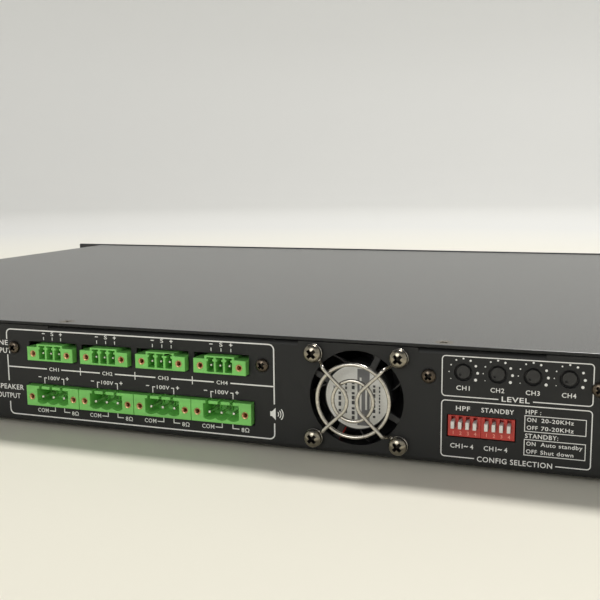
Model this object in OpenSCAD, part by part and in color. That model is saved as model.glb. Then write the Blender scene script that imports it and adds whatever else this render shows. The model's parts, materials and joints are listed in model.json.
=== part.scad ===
// Four-channel installation power amplifier, one rack unit high, with everything on its rear panel.
// X runs across the rack, Y runs from the front panel to the rear panel, and Z is up.
// The origin is at the centre of the footprint, on the surface that the feet stand on.

/* [Front panel] */
// Width over the rack ears
rack_w = 482.6; // [480:0.1:484]
// Height of the front panel
rack_h = 44; // [43.6:0.1:44.4]
// Thickness of the front panel
front_t = 3; // [2.5:0.5:4]
// Distance between the rack slots across the panel
slot_span_x = 465.1; // [464:0.1:466]
// Distance between the rack slots up the panel
slot_span_z = 31.75; // [31.5:0.05:32]
// Width of a rack slot, measured up the panel
slot_w = 6.8; // [6.4:0.1:7.2]
// Length of a rack slot, measured along the panel
slot_l = 10; // [9:0.5:12]
// Number of air slots in the front panel
vent_count = 20; // [10:1:22]

/* [Case] */
// Width of the case between the ears
case_w = 440; // [438:1:442]
// Depth from the rear panel to the back of the front panel
case_d = 371; // [360:1:390]
// Height of the case without its feet
case_h = 43; // [42.6:0.1:43.4]
// Thickness of the folded sheet steel
sheet_t = 1.2; // [1:0.1:1.4]
// Outer radius of the folds
bend_r = 2; // [1.6:0.1:2.4]
// Height of the rubber feet
foot_h = 2; // [1.5:0.5:3]

/* [Connectors] */
// Distance from one channel's connectors to the next channel's
channel_pitch = 25.4; // [25.4:0.1:26]
// Pin pitch of the line inputs
line_pitch = 3.81; // [3.5:0.01:3.81]
// How far the line inputs stand out of the rear panel
line_out = 2.9; // [2:0.1:4]
// Pin pitch of the speaker outputs
speaker_pitch = 5.08; // [5:0.01:5.08]
// How far the speaker outputs stand out of the rear panel
speaker_out = 2.4; // [1.5:0.1:3]

/* [Fan] */
// Side of the fan's square frame
fan_w = 40; // [40:0.5:41]
// Depth of the fan
fan_d = 20; // [18:1:25]
// Distance between the fan's screws
fan_screw_span = 32; // [32:0.1:32.5]
// Diameter of the hole in the rear panel
fan_hole_d = 35.3; // [34:0.1:36]
// Number of blades
blade_count = 7; // [5:1:9]
// Diameter of the guard's wire
guard_wire_d = 1.4; // [1.2:0.1:1.6]
// Diameter of the guard's outer ring
guard_outer_d = 26.8; // [26:0.1:29]
// Diameter of the guard's inner ring
guard_inner_d = 15; // [14:0.1:17]
// How far the guard stands out of the rear panel
guard_out = 6.2; // [5.6:0.1:7]

/* [Level controls] */
// Distance from one level control to the next
level_pitch = 11.7; // [11:0.1:12]
// Diameter of the turning face
level_face_d = 5; // [4.6:0.1:6]
// Diameter of the hole in the rear panel
level_hole_d = 6.3; // [6.2:0.1:7]

/* [Option switches] */
// Width of one four-way switch
option_w = 11.5; // [11.2:0.1:11.6]
// Height of the switch face
option_h = 7.6; // [7.5:0.1:7.8]
// How far a lever travels
option_travel = 1.3; // [1:0.1:1.3]
// How far a lever stands out of the switch face
option_lever_out = 2.4; // [1.5:0.1:3]

/* [Front controls] */
// Angle that the power rocker turns through
rocker_travel = 16; // [12:1:18]
// How far the power switch's rim stands out of the front panel
switch_rim_out = 1.8; // [1.2:0.1:2.4]

/* [Hidden] */
$fn = 48;
eps = 0.01;

// The fan's centre is the datum of the rear panel: x from it runs towards the level controls.
fan_from_side = 95.7;
fan_x = -(case_w / 2 - fan_from_side);
fan_z = foot_h + case_h / 2;

// The power rocker is the foremost piece, and the fan guard the rearmost.
rocker_half_h = 8.2;
rocker_tip_y = -2.6;
rocker_rest = rocker_travel / 2;
rocker_pivot_y = 2.2;
rocker_back_y = 4.6;
rocker_gap = 0.8;
front_out = rocker_half_h * sin(rocker_rest) + (rocker_pivot_y - rocker_tip_y) * cos(rocker_rest)
    - rocker_pivot_y;
rear_y = (case_d + front_t + front_out - guard_out) / 2;
panel_y = rear_y - case_d;
face_y = panel_y - front_t;

// Folded sheet
fit_gap = 0.2;
tray_w = case_w - 2 * (sheet_t + fit_gap);
tray_wall_h = case_h - sheet_t - fit_gap;
side_flange_h = 14;
lip_d = 11;
cover_top = foot_h + case_h;
floor_z = foot_h + sheet_t;

// The rear wall's top lips, as their ends along X, and the screws that hold the cover
REAR_LIPS = [[-190.3, -147.1], [-102.1, 7], [136, 196]];
COVER_SCREW_XS = [-155.2, 1.3, 157.8];
cover_screw_in = 5.3;
COVER_SIDE_SCREW_YS = [-150, 0, 150];
cover_side_screw_z = foot_h + 8;
flat_head_d = 6.8;
flat_head_h = 1.1;
flat_neck_d = 4.8;
screw_d = 3;
screw_hole_r = 1.7;
screw_l = 6;

// Rear panel layout, measured from the fan's centre
channel_1_x = -129.14;
CHANNELS = [0, 1, 2, 3];
line_w = 21.8;
line_z0 = 5.9;
line_h = 7;
line_flange_h = 5.75;
line_d = 11.4;
line_rib_out = 0.6;
line_rib_h = 0.9;
line_rib_down = 1.05;
line_insert_span = 16.2;
line_insert_z = 8.8;
line_pin_z = 9.05;
line_slot_z = 6.6;
line_slot_w = 2.95;
line_slot_h = 5.6;
line_window = [22.9, 7.9];
line_window_x = -0.4;
speaker_w = 25.2;
speaker_z0 = -13.45;
speaker_h = 8.5;
speaker_d = 12;
speaker_insert_span = 20;
speaker_insert_z = -9.6;
speaker_pin_z = -9.5;
speaker_cavity_w = 14.9;
speaker_cavity_top = -6.2;
scallop_r = 3.9;
scallop_z = -8.55;
cavity_d = 9;
line_pin_w = 0.8;
speaker_pin_w = 1;
insert_d = 2.7;
insert_hole_d = 1.7;
insert_l = 7;
// Panel screws, as x and z from the fan's centre
BOARD_SCREWS = [[-148.5, 10.3], [-36.4, 9.9]];
LEVEL_SCREWS = [[26.5, 10.2], [83.2, 9.5]];
panel_screw_head_d = 5.2;

// Fan and guard
fan_screw_head_d = 6.8;
fan_screw_head_h = 2.4;
fan_screw_hole_r = 1.8;
fan_hub_r = 12.4;
fan_bore_r = 18.9;
fan_plate_y = sheet_t + 0.7;
fan_plate_t = 2;
fan_rotor_y = fan_plate_y + fan_plate_t + 0.6;
fan_shaft_d = 3;
blade_rest_a = 12.9;
blade_twist = 38;
blade_t = 1;
blade_chord = 14.8;
fan_strut_w = 2.4;
FAN_STRUT_TURNS = [27, 117];
fan_edge = 0.6;
fan_label_t = 0.15;
running_gap = 0.05;
guard_arm_x = 1.85;
guard_bend_r = 6.5;
guard_knee = [-11.2, 12.1];
guard_foot_r = 4.4;
guard_eye_r = 2.9;

// Level controls and option switches, on one upright board
level_1_x = 38.5;
level_z = 12.3;
level_face_in = 0.2;
level_body_w = 9.8;
level_rest_a = 223;
level_dimple_at_r = 1.35;
level_dimple_r = 0.45;
level_neck_r = 2;
level_board_y = 9;
option_x = 33.4;
option_z = -3.3;
option_face_in = 0.3;
option_pitch = 2.54;
OPTION_WAYS = [0, 1, 2, 3];
option_lever_w = 1.2;
option_lever_h = 2.6;
option_lever_top = -5;
option_slot_gap = 0.06;
option_slot_d = 2.2;

// Mains inlet and fuse, placed from the middle of the case
inlet_x = 178;
inlet_flange = [50, 24];
inlet_body = [27.6, 20];
inlet_cavity = [24.6, 16.6];
inlet_cavity_d = 16.4;
inlet_screw_span = 40;
inlet_pin_span = 14;
fuse_x = 130;
fuse_body_r = 6;
fuse_bore_r = 4.1;

// Front panel layout, placed from the middle of the case
vent_x = -198;
vent_pitch = 8;
vent_w = 3;
vent_h = 24;
led_x = 40;
led_pitch = 12;
led_d = 3;
led_hole_d = 3.2;
led_proud = 0.6;
display_gap = 4.4;
signal_led_z = fan_z + 5;
protect_led_z = fan_z - 5;
power_led_x = 150;
switch_x = 190;
switch_cut = [13.2, 19.4];
switch_rim = [15, 21.4];
rocker_w = 10.8;
rocker_pin_d = 2;

// Boards
board_t = 1.6;
amp_board_top = fan_z + speaker_z0;
input_board_top = fan_z + line_z0;
board_gap_y = 2;
AMP_BOARD = [[-95, 100], 200];
INPUT_BOARD = [[-93, 28], 70];
SUPPLY_BOARD = [[112, 212], 190];
supply_board_y = rear_y - 60;
standoff_d = 6;
heat_sink_w = 140;
heat_sink_d = 46;
heat_sink_h = 26;
heat_sink_y = rear_y - 108;
fin_count = 14;
fin_t = 2;
choke_r = 7;
choke_wire_r = 4;

// Cable routes, as points inside the case
MAINS_ROUTE = [[178, 160.5, 24], [178, 152, 23], [186, 136, 19], [206, 128, 16], [213, 100, 15], [213, 40, 15],
    [213, -60, 15], [211, -120, 16], [204, -140, 19], [193, -154, 22], [190, -167, 23.5]];
FUSE_ROUTE = [[130, 149.2, 24], [130, 142, 22], [134, 134, 18], [140, 127, 14], [146, 118, 11.8]];
FAN_ROUTE = [[-136, 163.8, 8], [-136, 156, 6.4], [-130, 147, 6], [-116, 140, 8.6], [-104, 134, 11.4],
    [-90, 126, 11.8]];
DISPLAY_ROUTE = [[60, -178.2, 14], [60, -168, 9], [52, -150, 5.4], [44, -110, 5], [36, -70, 5], [30, -36, 5.4],
    [27, -26, 8], [26, -18, 11.4], [26, -8, 11.8]];
LEVEL_ROUTE = [[-166, 175, 20], [-166, 166, 20], [-158, 146, 22], [-140, 138, 25], [-118, 137, 29],
    [-100, 138, 31.4], [-88, 139, 31.2]];
mains_lead_r = 2.6;
thin_lead_r = 1.3;
ROUTE_STEPS = [0, 0.34, 0.67];

// ---- Frames and small shapes ----

// Places rear panel pieces: x towards the level controls, y into the case, z up, all from the fan's centre.
module on_rear() {
    translate([fan_x, rear_y, fan_z]) rotate([0, 0, 180]) children();
}

// A solid of revolution along y, starting at y = 0 and pointing into the case
module along_y(length, r) {
    rotate([-90, 0, 0]) cylinder(h = length, r = r);
}

// A box centred on x and z, which starts at y = 0
module plate(w, h, depth) {
    translate([-w / 2, 0, -h / 2]) cube([w, depth, h]);
}

// Section of a sheet folded up at both ends, with its fold radius at the bottom
module folded_section(w, h) {
    difference() {
        rounded_foot(w, h, bend_r);
        translate([0, sheet_t]) rounded_foot(w - 2 * sheet_t, h, bend_r - sheet_t);
    }
}

module rounded_foot(w, h, r) {
    translate([-w / 2, r]) square([w, h - r]);
    translate([-w / 2 + r, 0]) square([w - 2 * r, h]);
    for (side = [-1, 1]) translate([side * (w / 2 - r), r]) circle(r);
}

// Pan-head screw along y: its head stands out towards -y, from y = 0
module pan_screw(head_d, head_h, shank_d, length) {
    dome_r = (head_d * head_d / 4 + head_h * head_h) / (2 * head_h);
    difference() {
        intersection() {
            translate([0, dome_r - head_h, 0]) sphere(dome_r);
            translate([0, -head_h, 0]) along_y(head_h, head_d / 2);
        }
        for (turn = [45, 135]) rotate([0, turn, 0]) translate([0, -head_h - eps, 0])
            plate(head_d * 0.5, head_d * 0.13, head_h * 0.6);
    }
    along_y(length, shank_d / 2);
}

// Countersunk screw down z: its flat head is at z = 0
module flat_screw() {
    difference() {
        union() {
            translate([0, 0, -flat_head_h]) cylinder(h = flat_head_h, d1 = flat_neck_d, d2 = flat_head_d);
            translate([0, 0, -screw_l]) cylinder(h = screw_l, d = screw_d);
        }
        for (turn = [45, 135]) rotate([0, 0, turn]) translate([-1.8, -0.45, -0.8]) cube([3.6, 0.9, 1]);
    }
}

// Seat of a countersunk screw, down z from z = 0
module flat_screw_seat() {
    translate([0, 0, -flat_head_h]) cylinder(h = flat_head_h, d1 = flat_neck_d, d2 = flat_head_d);
    translate([0, 0, -eps]) cylinder(h = 1, d = flat_head_d);
    translate([0, 0, -screw_l]) cylinder(h = screw_l, d = screw_d + 0.4);
}

// A square box on y = 0, with the edges of its near face cut back
module bevelled_plate(w, depth, edge) {
    hull() {
        plate(w - 2 * edge, w - 2 * edge, depth);
        translate([0, edge, 0]) plate(w, w, depth - edge);
    }
}

// Slot with round ends through y, long way along x
module slot_along_x(length, w, depth) {
    plate(length - w, w, depth);
    for (side = [-1, 1]) translate([side * (length - w) / 2, 0, 0]) along_y(depth, w / 2);
}

// Slot with round ends through y, long way up z
module slot_along_z(length, w, depth) {
    rotate([0, 90, 0]) slot_along_x(length, w, depth);
}

// ---- Cable sweep ----

// Catmull-Rom curve through a route's points
function along_route(p, i, t) = let (
    a = p[max(i - 1, 0)],
    b = p[i],
    c = p[i + 1],
    d = p[min(i + 2, len(p) - 1)]
) b + (c - a) * t / 2 + (2 * a - 5 * b + 4 * c - d) * t * t / 2 + (3 * b - a - 3 * c + d) * t * t * t / 2;
function smooth_route(p) = concat(
    [for (i = [0:len(p) - 2]) for (t = ROUTE_STEPS) along_route(p, i, t)],
    [p[len(p) - 1]]
);
function heading(p, i) = let (v = p[min(i + 1, len(p) - 1)] - p[max(i - 1, 0)]) v / norm(v);
function sideways(v, up) = let (s = cross(v, up)) s / norm(s);
function ring(c, v, up, r, sides) = let (s = sideways(v, up), u = cross(s, v))
    [for (k = [0:sides - 1]) c + r * (cos(360 * k / sides) * s + sin(360 * k / sides) * u)];

// A tube along a smooth path that never runs along the direction up
module tube(path, r, up, sides) {
    last = len(path) - 1;
    points = [for (i = [0:last]) each ring(path[i], heading(path, i), up, r, sides)];
    walls = [for (i = [0:last - 1]) for (k = [0:sides - 1])
        [i * sides + k, i * sides + (k + 1) % sides, (i + 1) * sides + (k + 1) % sides, (i + 1) * sides + k]];
    ends = [[for (k = [sides - 1:-1:0]) k], [for (k = [0:sides - 1]) last * sides + k]];
    polyhedron(points, concat(walls, ends));
}

module cable(route, r) {
    tube(smooth_route(route), r, [0, 0, 1], 8);
}

// ---- Case ----

module chassis_tray() {
    color("#242528") difference() {
        union() {
            translate([0, rear_y - case_d / 2, foot_h]) rotate([90, 0, 90])
                linear_extrude(tray_w, center = true) folded_section(case_d, tray_wall_h);
            for (side = [-1, 1])
                translate([side * (tray_w - sheet_t) / 2, rear_y - case_d / 2, foot_h + side_flange_h / 2])
                    cube([sheet_t, case_d - 2 * bend_r, side_flange_h], center = true);
            for (lip = REAR_LIPS) translate([lip[0], rear_y, foot_h + tray_wall_h]) rotate([90, 0, 90])
                linear_extrude(lip[1] - lip[0]) lip_section();
        }
        for (lip = REAR_LIPS) translate([lip[0], rear_y - sheet_t / 2, foot_h + tray_wall_h])
            fold_relief(lip[1] - lip[0]);
        on_rear() rear_windows();
        front_wall_windows();
        for (x = COVER_SCREW_XS) translate([x, rear_y - cover_screw_in, foot_h + tray_wall_h - screw_l])
            cylinder(h = screw_l + 1, d = screw_d);
        for (side = [-1, 1], y = COVER_SIDE_SCREW_YS) translate([side * tray_w / 2, y, cover_side_screw_z])
            rotate([0, 90, 0]) cylinder(h = 4, d = screw_d, center = true);
    }
}

// Section of a lip folded inwards from the top of the rear wall, whose outer corner is at the origin
module lip_section() {
    translate([-lip_d, -sheet_t]) square([lip_d - bend_r, sheet_t]);
    intersection() {
        translate([-bend_r, -bend_r]) difference() {
            circle(bend_r);
            circle(bend_r - sheet_t);
        }
        translate([-bend_r, -bend_r]) square(bend_r);
    }
}

// What a fold takes off the outer corner of the rear wall
module fold_relief(length) {
    translate([0, sheet_t / 2 - bend_r, -bend_r]) rotate([90, 0, 90]) linear_extrude(length) difference() {
        square(bend_r + eps);
        circle(bend_r);
    }
}

module rear_windows() {
    wall = sheet_t + 2;
    for (i = CHANNELS)
        translate([channel_1_x + i * channel_pitch + line_window_x, -1, line_z0 - 0.5 + line_window[1] / 2])
            plate(line_window[0], line_window[1], wall);
    translate([channel_1_x + 1.5 * channel_pitch, -1, speaker_z0 + speaker_h / 2])
        plate(4 * channel_pitch + 0.6, speaker_h + 0.9, wall);
    translate([0, -1, 0]) along_y(wall, fan_hole_d / 2);
    at_fan_screws() translate([0, -1, 0]) along_y(wall, fan_screw_hole_r);
    for (i = CHANNELS) translate([level_1_x + i * level_pitch, -1, level_z])
        along_y(wall, level_hole_d / 2);
    translate([option_x + option_w, -1, option_z - option_h / 2])
        plate(2 * option_w + 0.6, option_h + 0.5, wall);
    for (p = concat(BOARD_SCREWS, LEVEL_SCREWS)) translate([p[0], -1, p[1]]) along_y(wall, screw_hole_r);
    translate([fan_x - inlet_x, -1, 0]) {
        plate(inlet_body[0] + 0.4, inlet_body[1] + 0.4, wall);
        for (side = [-1, 1]) translate([side * inlet_screw_span / 2, 0, 0]) along_y(wall, screw_hole_r);
    }
    translate([fan_x - fuse_x, -1, 0]) along_y(wall, fuse_body_r + 0.2);
}

module front_wall_windows() {
    wall = sheet_t + 2;
    vents_w = vent_count * vent_pitch;
    translate([vent_x + (vents_w - vent_pitch) / 2, panel_y - 1, fan_z]) plate(vents_w, vent_h + 4, wall);
    translate([led_x + 1.5 * led_pitch, panel_y - 1, fan_z]) plate(4 * led_pitch + 4, 20, wall);
    translate([power_led_x, panel_y - 1, fan_z]) plate(12, 12, wall);
    translate([switch_x, panel_y - 1, fan_z]) plate(switch_cut[0] + 2, switch_cut[1] + 2, wall);
    at_front_screws() translate([0, panel_y - 1, 0]) along_y(wall, screw_hole_r);
}

module top_cover() {
    color("#26272a") difference() {
        translate([0, rear_y, cover_top]) rotate([90, 0, 0]) linear_extrude(case_d)
            mirror([0, 1, 0]) folded_section(case_w, case_h - 0.5);
        for (x = COVER_SCREW_XS) translate([x, rear_y - cover_screw_in, cover_top]) flat_screw_seat();
        for (side = [-1, 1], y = COVER_SIDE_SCREW_YS) translate([side * case_w / 2, y, cover_side_screw_z])
            rotate([0, side * 90, 0]) flat_screw_seat();
        for (side = [-1, 1], i = [0:11]) translate([side * (case_w / 2 - 3), panel_y + 40 + i * 7, fan_z + 1])
            rotate([0, 0, 90]) translate([0, -3, 0]) slot_along_z(22, 2.6, 6);
    }
}

module cover_screws() {
    color("#8d8678") {
        for (x = COVER_SCREW_XS) translate([x, rear_y - cover_screw_in, cover_top]) flat_screw();
        for (side = [-1, 1], y = COVER_SIDE_SCREW_YS) translate([side * case_w / 2, y, cover_side_screw_z])
            rotate([0, side * 90, 0]) flat_screw();
    }
}

module rubber_feet() {
    color("#1b1b1b") for (x = [-1, 1], y = [-1, 1]) translate([x * 190, y * 155, 0])
        cylinder(h = foot_h, r = 7);
}

// ---- Front panel ----

module at_front_screws() {
    for (x = [-208, -30, 24, 170]) translate([x, 0, fan_z - 16.5]) children();
    for (x = [-208, 214]) translate([x, 0, fan_z + 16.5]) children();
}

module front_panel() {
    color("#1f2022") difference() {
        translate([0, face_y, fan_z + 0.2]) plate(rack_w, rack_h, front_t);
        for (x = [-1, 1], z = [-1, 1])
            translate([x * slot_span_x / 2, face_y - 1, fan_z + 0.2 + z * slot_span_z / 2])
                slot_along_x(slot_l, slot_w, front_t + 2);
        for (i = [0:vent_count - 1]) translate([vent_x + i * vent_pitch, face_y - 1, fan_z])
            slot_along_z(vent_h, vent_w, front_t + 2);
        for (i = CHANNELS, z = [signal_led_z, protect_led_z]) translate([led_x + i * led_pitch, face_y - 1, z])
            along_y(front_t + 2, led_hole_d / 2);
        translate([power_led_x, face_y - 1, fan_z]) along_y(front_t + 2, led_hole_d / 2);
        translate([switch_x, face_y - 1, fan_z]) plate(switch_cut[0], switch_cut[1], front_t + 2);
        at_front_screws() translate([0, face_y + 1, 0]) along_y(front_t, screw_d / 2);
    }
}

module front_panel_screws() {
    color("#8d8678") at_front_screws() translate([0, panel_y + sheet_t, 0]) rotate([0, 0, 180])
        pan_screw(5.4, 2, screw_d, sheet_t + front_t - 1);
}

module front_leds() {
    for (i = CHANNELS) {
        color("#2fae4a") translate([led_x + i * led_pitch, 0, signal_led_z]) led();
        color("#c0392b") translate([led_x + i * led_pitch, 0, protect_led_z]) led();
    }
    color("#3a7bd5") translate([power_led_x, 0, fan_z]) led();
}

// A lamp whose body reaches from the display board to just in front of the front panel
module led() {
    translate([0, face_y - led_proud + led_d / 2, 0]) {
        along_y(front_t + display_gap + led_proud - led_d / 2, led_d / 2);
        sphere(d = led_d);
    }
}

module display_board() {
    color("#1d5c36") translate([(led_x + power_led_x) / 2 + 4, panel_y + display_gap, fan_z])
        plate(power_led_x - led_x + 40, 26, board_t);
    color("#a8a8a4") for (x = [led_x - 10, power_led_x + 18]) translate([x, panel_y + sheet_t, fan_z + 9])
        along_y(display_gap - sheet_t, 2.6);
}

module power_switch() {
    depth = 20;
    color("#1a1a1b") translate([switch_x, face_y, fan_z]) difference() {
        union() {
            translate([0, -switch_rim_out, 0]) plate(switch_rim[0], switch_rim[1], switch_rim_out);
            plate(switch_cut[0], switch_cut[1], depth);
        }
        translate([0, -switch_rim_out - 1, 0]) plate(rocker_w + 0.4, 2 * (rocker_half_h + rocker_gap), 12);
        translate([0, rocker_pivot_y, 0]) rotate([0, 90, 0])
            cylinder(h = switch_cut[0] + 2, d = rocker_pin_d + 2 * running_gap, center = true);
    }
}

// Rocker seen along x: its two faces meet in a shallow valley, and it rests with its upper half out
module power_rocker() {
    color("#8e1d1d") translate([switch_x, face_y + rocker_pivot_y, fan_z]) {
        rotate([rocker_rest, 0, 0]) translate([-rocker_w / 2, -rocker_pivot_y, 0]) rotate([90, 0, 90])
            linear_extrude(rocker_w) polygon([
                [rocker_tip_y, rocker_half_h], [-1.2, 0], [rocker_tip_y, -rocker_half_h],
                [1.4, -rocker_half_h], [rocker_back_y, -2.6], [rocker_back_y, 2.6], [1.4, rocker_half_h]
            ]);
        rotate([0, 90, 0]) cylinder(h = switch_cut[0] - 0.2, d = rocker_pin_d, center = true);
    }
}

// ---- Fan ----

module at_fan_screws() {
    for (x = [-1, 1], z = [-1, 1]) translate([x * fan_screw_span / 2, 0, z * fan_screw_span / 2]) children();
}

module fan_housing() {
    color("#151515") on_rear() {
        difference() {
            translate([0, sheet_t, 0]) bevelled_plate(fan_w, fan_d, fan_edge);
            along_y(sheet_t + fan_d + 1, fan_bore_r);
            at_fan_screws() along_y(sheet_t + fan_d + 1, 1.6);
        }
        translate([0, fan_plate_y, 0]) difference() {
            union() {
                along_y(fan_plate_t, fan_hub_r);
                along_y(fan_d - 6, 4);
                for (turn = FAN_STRUT_TURNS) rotate([0, turn, 0])
                    plate(2 * fan_bore_r + 1, fan_strut_w, fan_plate_t);
            }
            translate([0, fan_plate_t, 0]) along_y(fan_d, fan_shaft_d / 2 + running_gap);
        }
    }
}

module fan_rotor() {
    cup_d = fan_d - 6;
    color("#101011") on_rear() translate([0, fan_rotor_y, 0]) {
        difference() {
            along_y(cup_d, fan_hub_r);
            translate([0, -1, 0]) along_y(cup_d - 1, fan_hub_r - 1.2);
        }
        along_y(cup_d - 1, fan_shaft_d / 2);
        intersection() {
            for (i = [0:blade_count - 1]) rotate([0, blade_rest_a + i * 360 / blade_count, 0])
                translate([0, cup_d / 2, fan_hub_r - 0.6]) rotate([0, 0, blade_twist])
                    translate([-blade_t / 2, -blade_chord / 2, 0]) cube([blade_t, blade_chord, 7]);
            difference() {
                along_y(cup_d, fan_bore_r - 0.5);
                translate([0, -1, 0]) along_y(cup_d + 2, fan_hub_r - 0.4);
            }
        }
    }
}

module fan_label() {
    color("#d7d5cc") on_rear() translate([0, fan_plate_y - fan_label_t, 0])
        along_y(fan_label_t, fan_hub_r - 0.5);
}

// Wire guard: two rings, two bent arms in front of them, and an eye under each screw head
module fan_guard() {
    arm_y = guard_wire_d / 2 - guard_out;
    color("#c9c5ba") on_rear() {
        for (d = [guard_outer_d, guard_inner_d]) translate([0, arm_y + guard_wire_d * 0.85, 0])
            wire_ring(d / 2);
        for (turn = [0, 180]) rotate([0, turn, 0])
            tube(guard_arm(arm_y), guard_wire_d / 2, [0, 1, 0], 12);
        at_fan_screws() translate([0, -guard_wire_d / 2, 0]) wire_ring(guard_eye_r);
    }
}

// Half of an arm, from the middle of its bend out to its knee, down to its foot and into the eye
function half_arm(arm_y, up) = let (
    foot_in = fan_screw_span / 2 - guard_foot_r * cos(45),
    eye_in = fan_screw_span / 2 - guard_eye_r * cos(45)
) concat(
    [for (a = [9, 27, 45])
        [-guard_arm_x - guard_bend_r * (1 - cos(a)), arm_y, up * guard_bend_r * sin(a)]],
    [
        [guard_knee[0] + 1.4, arm_y, up * (guard_knee[1] - 1.6)],
        [guard_knee[0], arm_y + 0.5, up * guard_knee[1]],
        [-foot_in + 0.2, -guard_wire_d / 2 - 1, up * (foot_in - 0.2)],
        [-foot_in - 0.3, -guard_wire_d / 2, up * (foot_in + 0.3)],
        [-eye_in, -guard_wire_d / 2, up * eye_in]
    ]
);
function guard_arm(arm_y) = let (upper = half_arm(arm_y, 1), lower = half_arm(arm_y, -1))
    concat([for (i = [len(upper) - 1:-1:0]) upper[i]], lower);

module wire_ring(r) {
    rotate([-90, 0, 0]) rotate_extrude() translate([r, 0]) circle(d = guard_wire_d, $fn = 24);
}

module fan_screws() {
    color("#b7ab8e") on_rear() at_fan_screws() translate([0, -guard_wire_d, 0])
        pan_screw(fan_screw_head_d, fan_screw_head_h, 3.2, 16);
}

module rear_panel_screws() {
    color("#7d7059") on_rear() {
        for (p = concat(BOARD_SCREWS, LEVEL_SCREWS)) translate([p[0], 0, p[1]])
            pan_screw(panel_screw_head_d, 1.8, screw_d, 7);
        for (side = [-1, 1]) translate([fan_x - inlet_x + side * inlet_screw_span / 2, -2.4, 0])
            pan_screw(panel_screw_head_d, 1.8, screw_d, 8);
    }
}

// ---- Connectors ----

module at_channel(i) {
    on_rear() translate([channel_1_x + i * channel_pitch, 0, 0]) children();
}

// Flanged header for three line-input pins, with a keyed slot for each
module line_header(i) {
    color("#3fa53c") at_channel(i) difference() {
        union() {
            translate([0, -line_out, line_z0 + line_flange_h / 2]) plate(line_w, line_flange_h, line_d);
            translate([0, -line_out, line_z0 + line_h / 2]) plate(3 * line_pitch + 0.9, line_h, line_d);
        }
        for (pin = [-1, 0, 1]) translate([pin * line_pitch, -line_out - 1, line_slot_z]) {
            line_slot();
            translate([0, 0, line_pin_z - line_slot_z]) plate(line_pin_w, line_pin_w, line_d + 2);
        }
        for (side = [-1, 1]) translate([side * line_insert_span / 2, -line_out - 1, line_insert_z])
            along_y(insert_l + 1, insert_d / 2);
    }
}

// One slot of a line input, narrowed by two ribs below its top
module line_slot() {
    depth = line_d - 1.4;
    difference() {
        translate([0, 0, line_slot_h / 2]) plate(line_slot_w, line_slot_h, depth);
        for (side = [-1, 1]) translate([side * line_slot_w / 2, 0, line_slot_h - line_rib_down])
            plate(2 * line_rib_out, line_rib_h, depth);
    }
}

// Flanged header for three speaker pins, with a scalloped floor and key notches in its top wall
module speaker_header(i) {
    color("#43ad3f") at_channel(i) difference() {
        translate([0, -speaker_out, speaker_z0 + speaker_h / 2]) plate(speaker_w, speaker_h, speaker_d);
        translate([0, -speaker_out - 1, 0]) speaker_cavity();
        for (pin = [-1, 0, 1]) translate([pin * speaker_pitch, -speaker_out - 1, 0]) {
            translate([-0.7, 0, speaker_cavity_top + 0.7]) plate(1.2, 2.6, 6);
            translate([0, 0, speaker_pin_z]) plate(speaker_pin_w, speaker_pin_w, speaker_d + 2);
        }
        for (side = [-1, 1]) translate([side * speaker_insert_span / 2, -speaker_out - 1, speaker_insert_z])
            along_y(insert_l + 1, insert_d / 2);
    }
}

module speaker_cavity() {
    depth = cavity_d + 1;
    translate([-speaker_cavity_w / 2, 0, scallop_z - 2.6])
        cube([speaker_cavity_w, depth, speaker_cavity_top - scallop_z + 2.6]);
    intersection() {
        for (pin = [-1, 0, 1]) translate([pin * speaker_pitch, 0, scallop_z]) along_y(depth, scallop_r);
        translate([0, 0, scallop_z - 3]) plate(speaker_cavity_w, 4, depth);
    }
}

// A pin that runs out of the back of its header and turns down into the board
module header_pin(w, out, back, board_top) {
    tail = 3;
    translate([0, -out, 0]) plate(w, w, out + back);
    translate([-w / 2, back - w, -tail - board_top]) cube([w, w, tail + board_top]);
}

module line_header_pins() {
    color("#d9d4c2") for (i = CHANNELS, pin = [-1, 0, 1]) at_channel(i)
        translate([pin * line_pitch, 0, line_pin_z])
            header_pin(line_pin_w, line_out - 1, line_d - line_out + 2.5, line_pin_z - line_z0);
}

module speaker_header_pins() {
    back = speaker_d - speaker_out + 2.5;
    color("#d9d4c2") for (i = CHANNELS, pin = [-1, 0, 1]) at_channel(i)
        translate([pin * speaker_pitch, 0, speaker_pin_z])
            header_pin(speaker_pin_w, speaker_out - 0.6, back, speaker_pin_z - speaker_z0);
}

module header_inserts() {
    color("#b5713a") for (i = CHANNELS, side = [-1, 1]) at_channel(i) {
        translate([side * line_insert_span / 2, -line_out, line_insert_z]) insert();
        translate([side * speaker_insert_span / 2, -speaker_out, speaker_insert_z]) insert();
    }
}

module insert() {
    difference() {
        along_y(insert_l, insert_d / 2);
        translate([0, -1, 0]) along_y(insert_l, insert_hole_d / 2);
    }
}

// ---- Level controls and option switches ----

module at_level(i) {
    on_rear() translate([level_1_x + i * level_pitch, 0, level_z]) children();
}

module level_pot(i) {
    color("#1b1c20") at_level(i) translate([0, sheet_t + 0.4, 0]) difference() {
        plate(level_body_w, level_body_w + 1, level_board_y - sheet_t - 0.4);
        translate([0, -1, 0]) along_y(5, level_neck_r + running_gap);
    }
}

module level_shaft(i) {
    color("#17181a") at_level(i) difference() {
        union() {
            translate([0, level_face_in, 0]) along_y(sheet_t, level_face_d / 2);
            translate([0, level_face_in, 0]) along_y(5, level_neck_r);
        }
        rotate([0, -level_rest_a, 0]) translate([level_dimple_at_r, level_face_in - 1, 0])
            along_y(1.5, level_dimple_r);
    }
}

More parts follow.
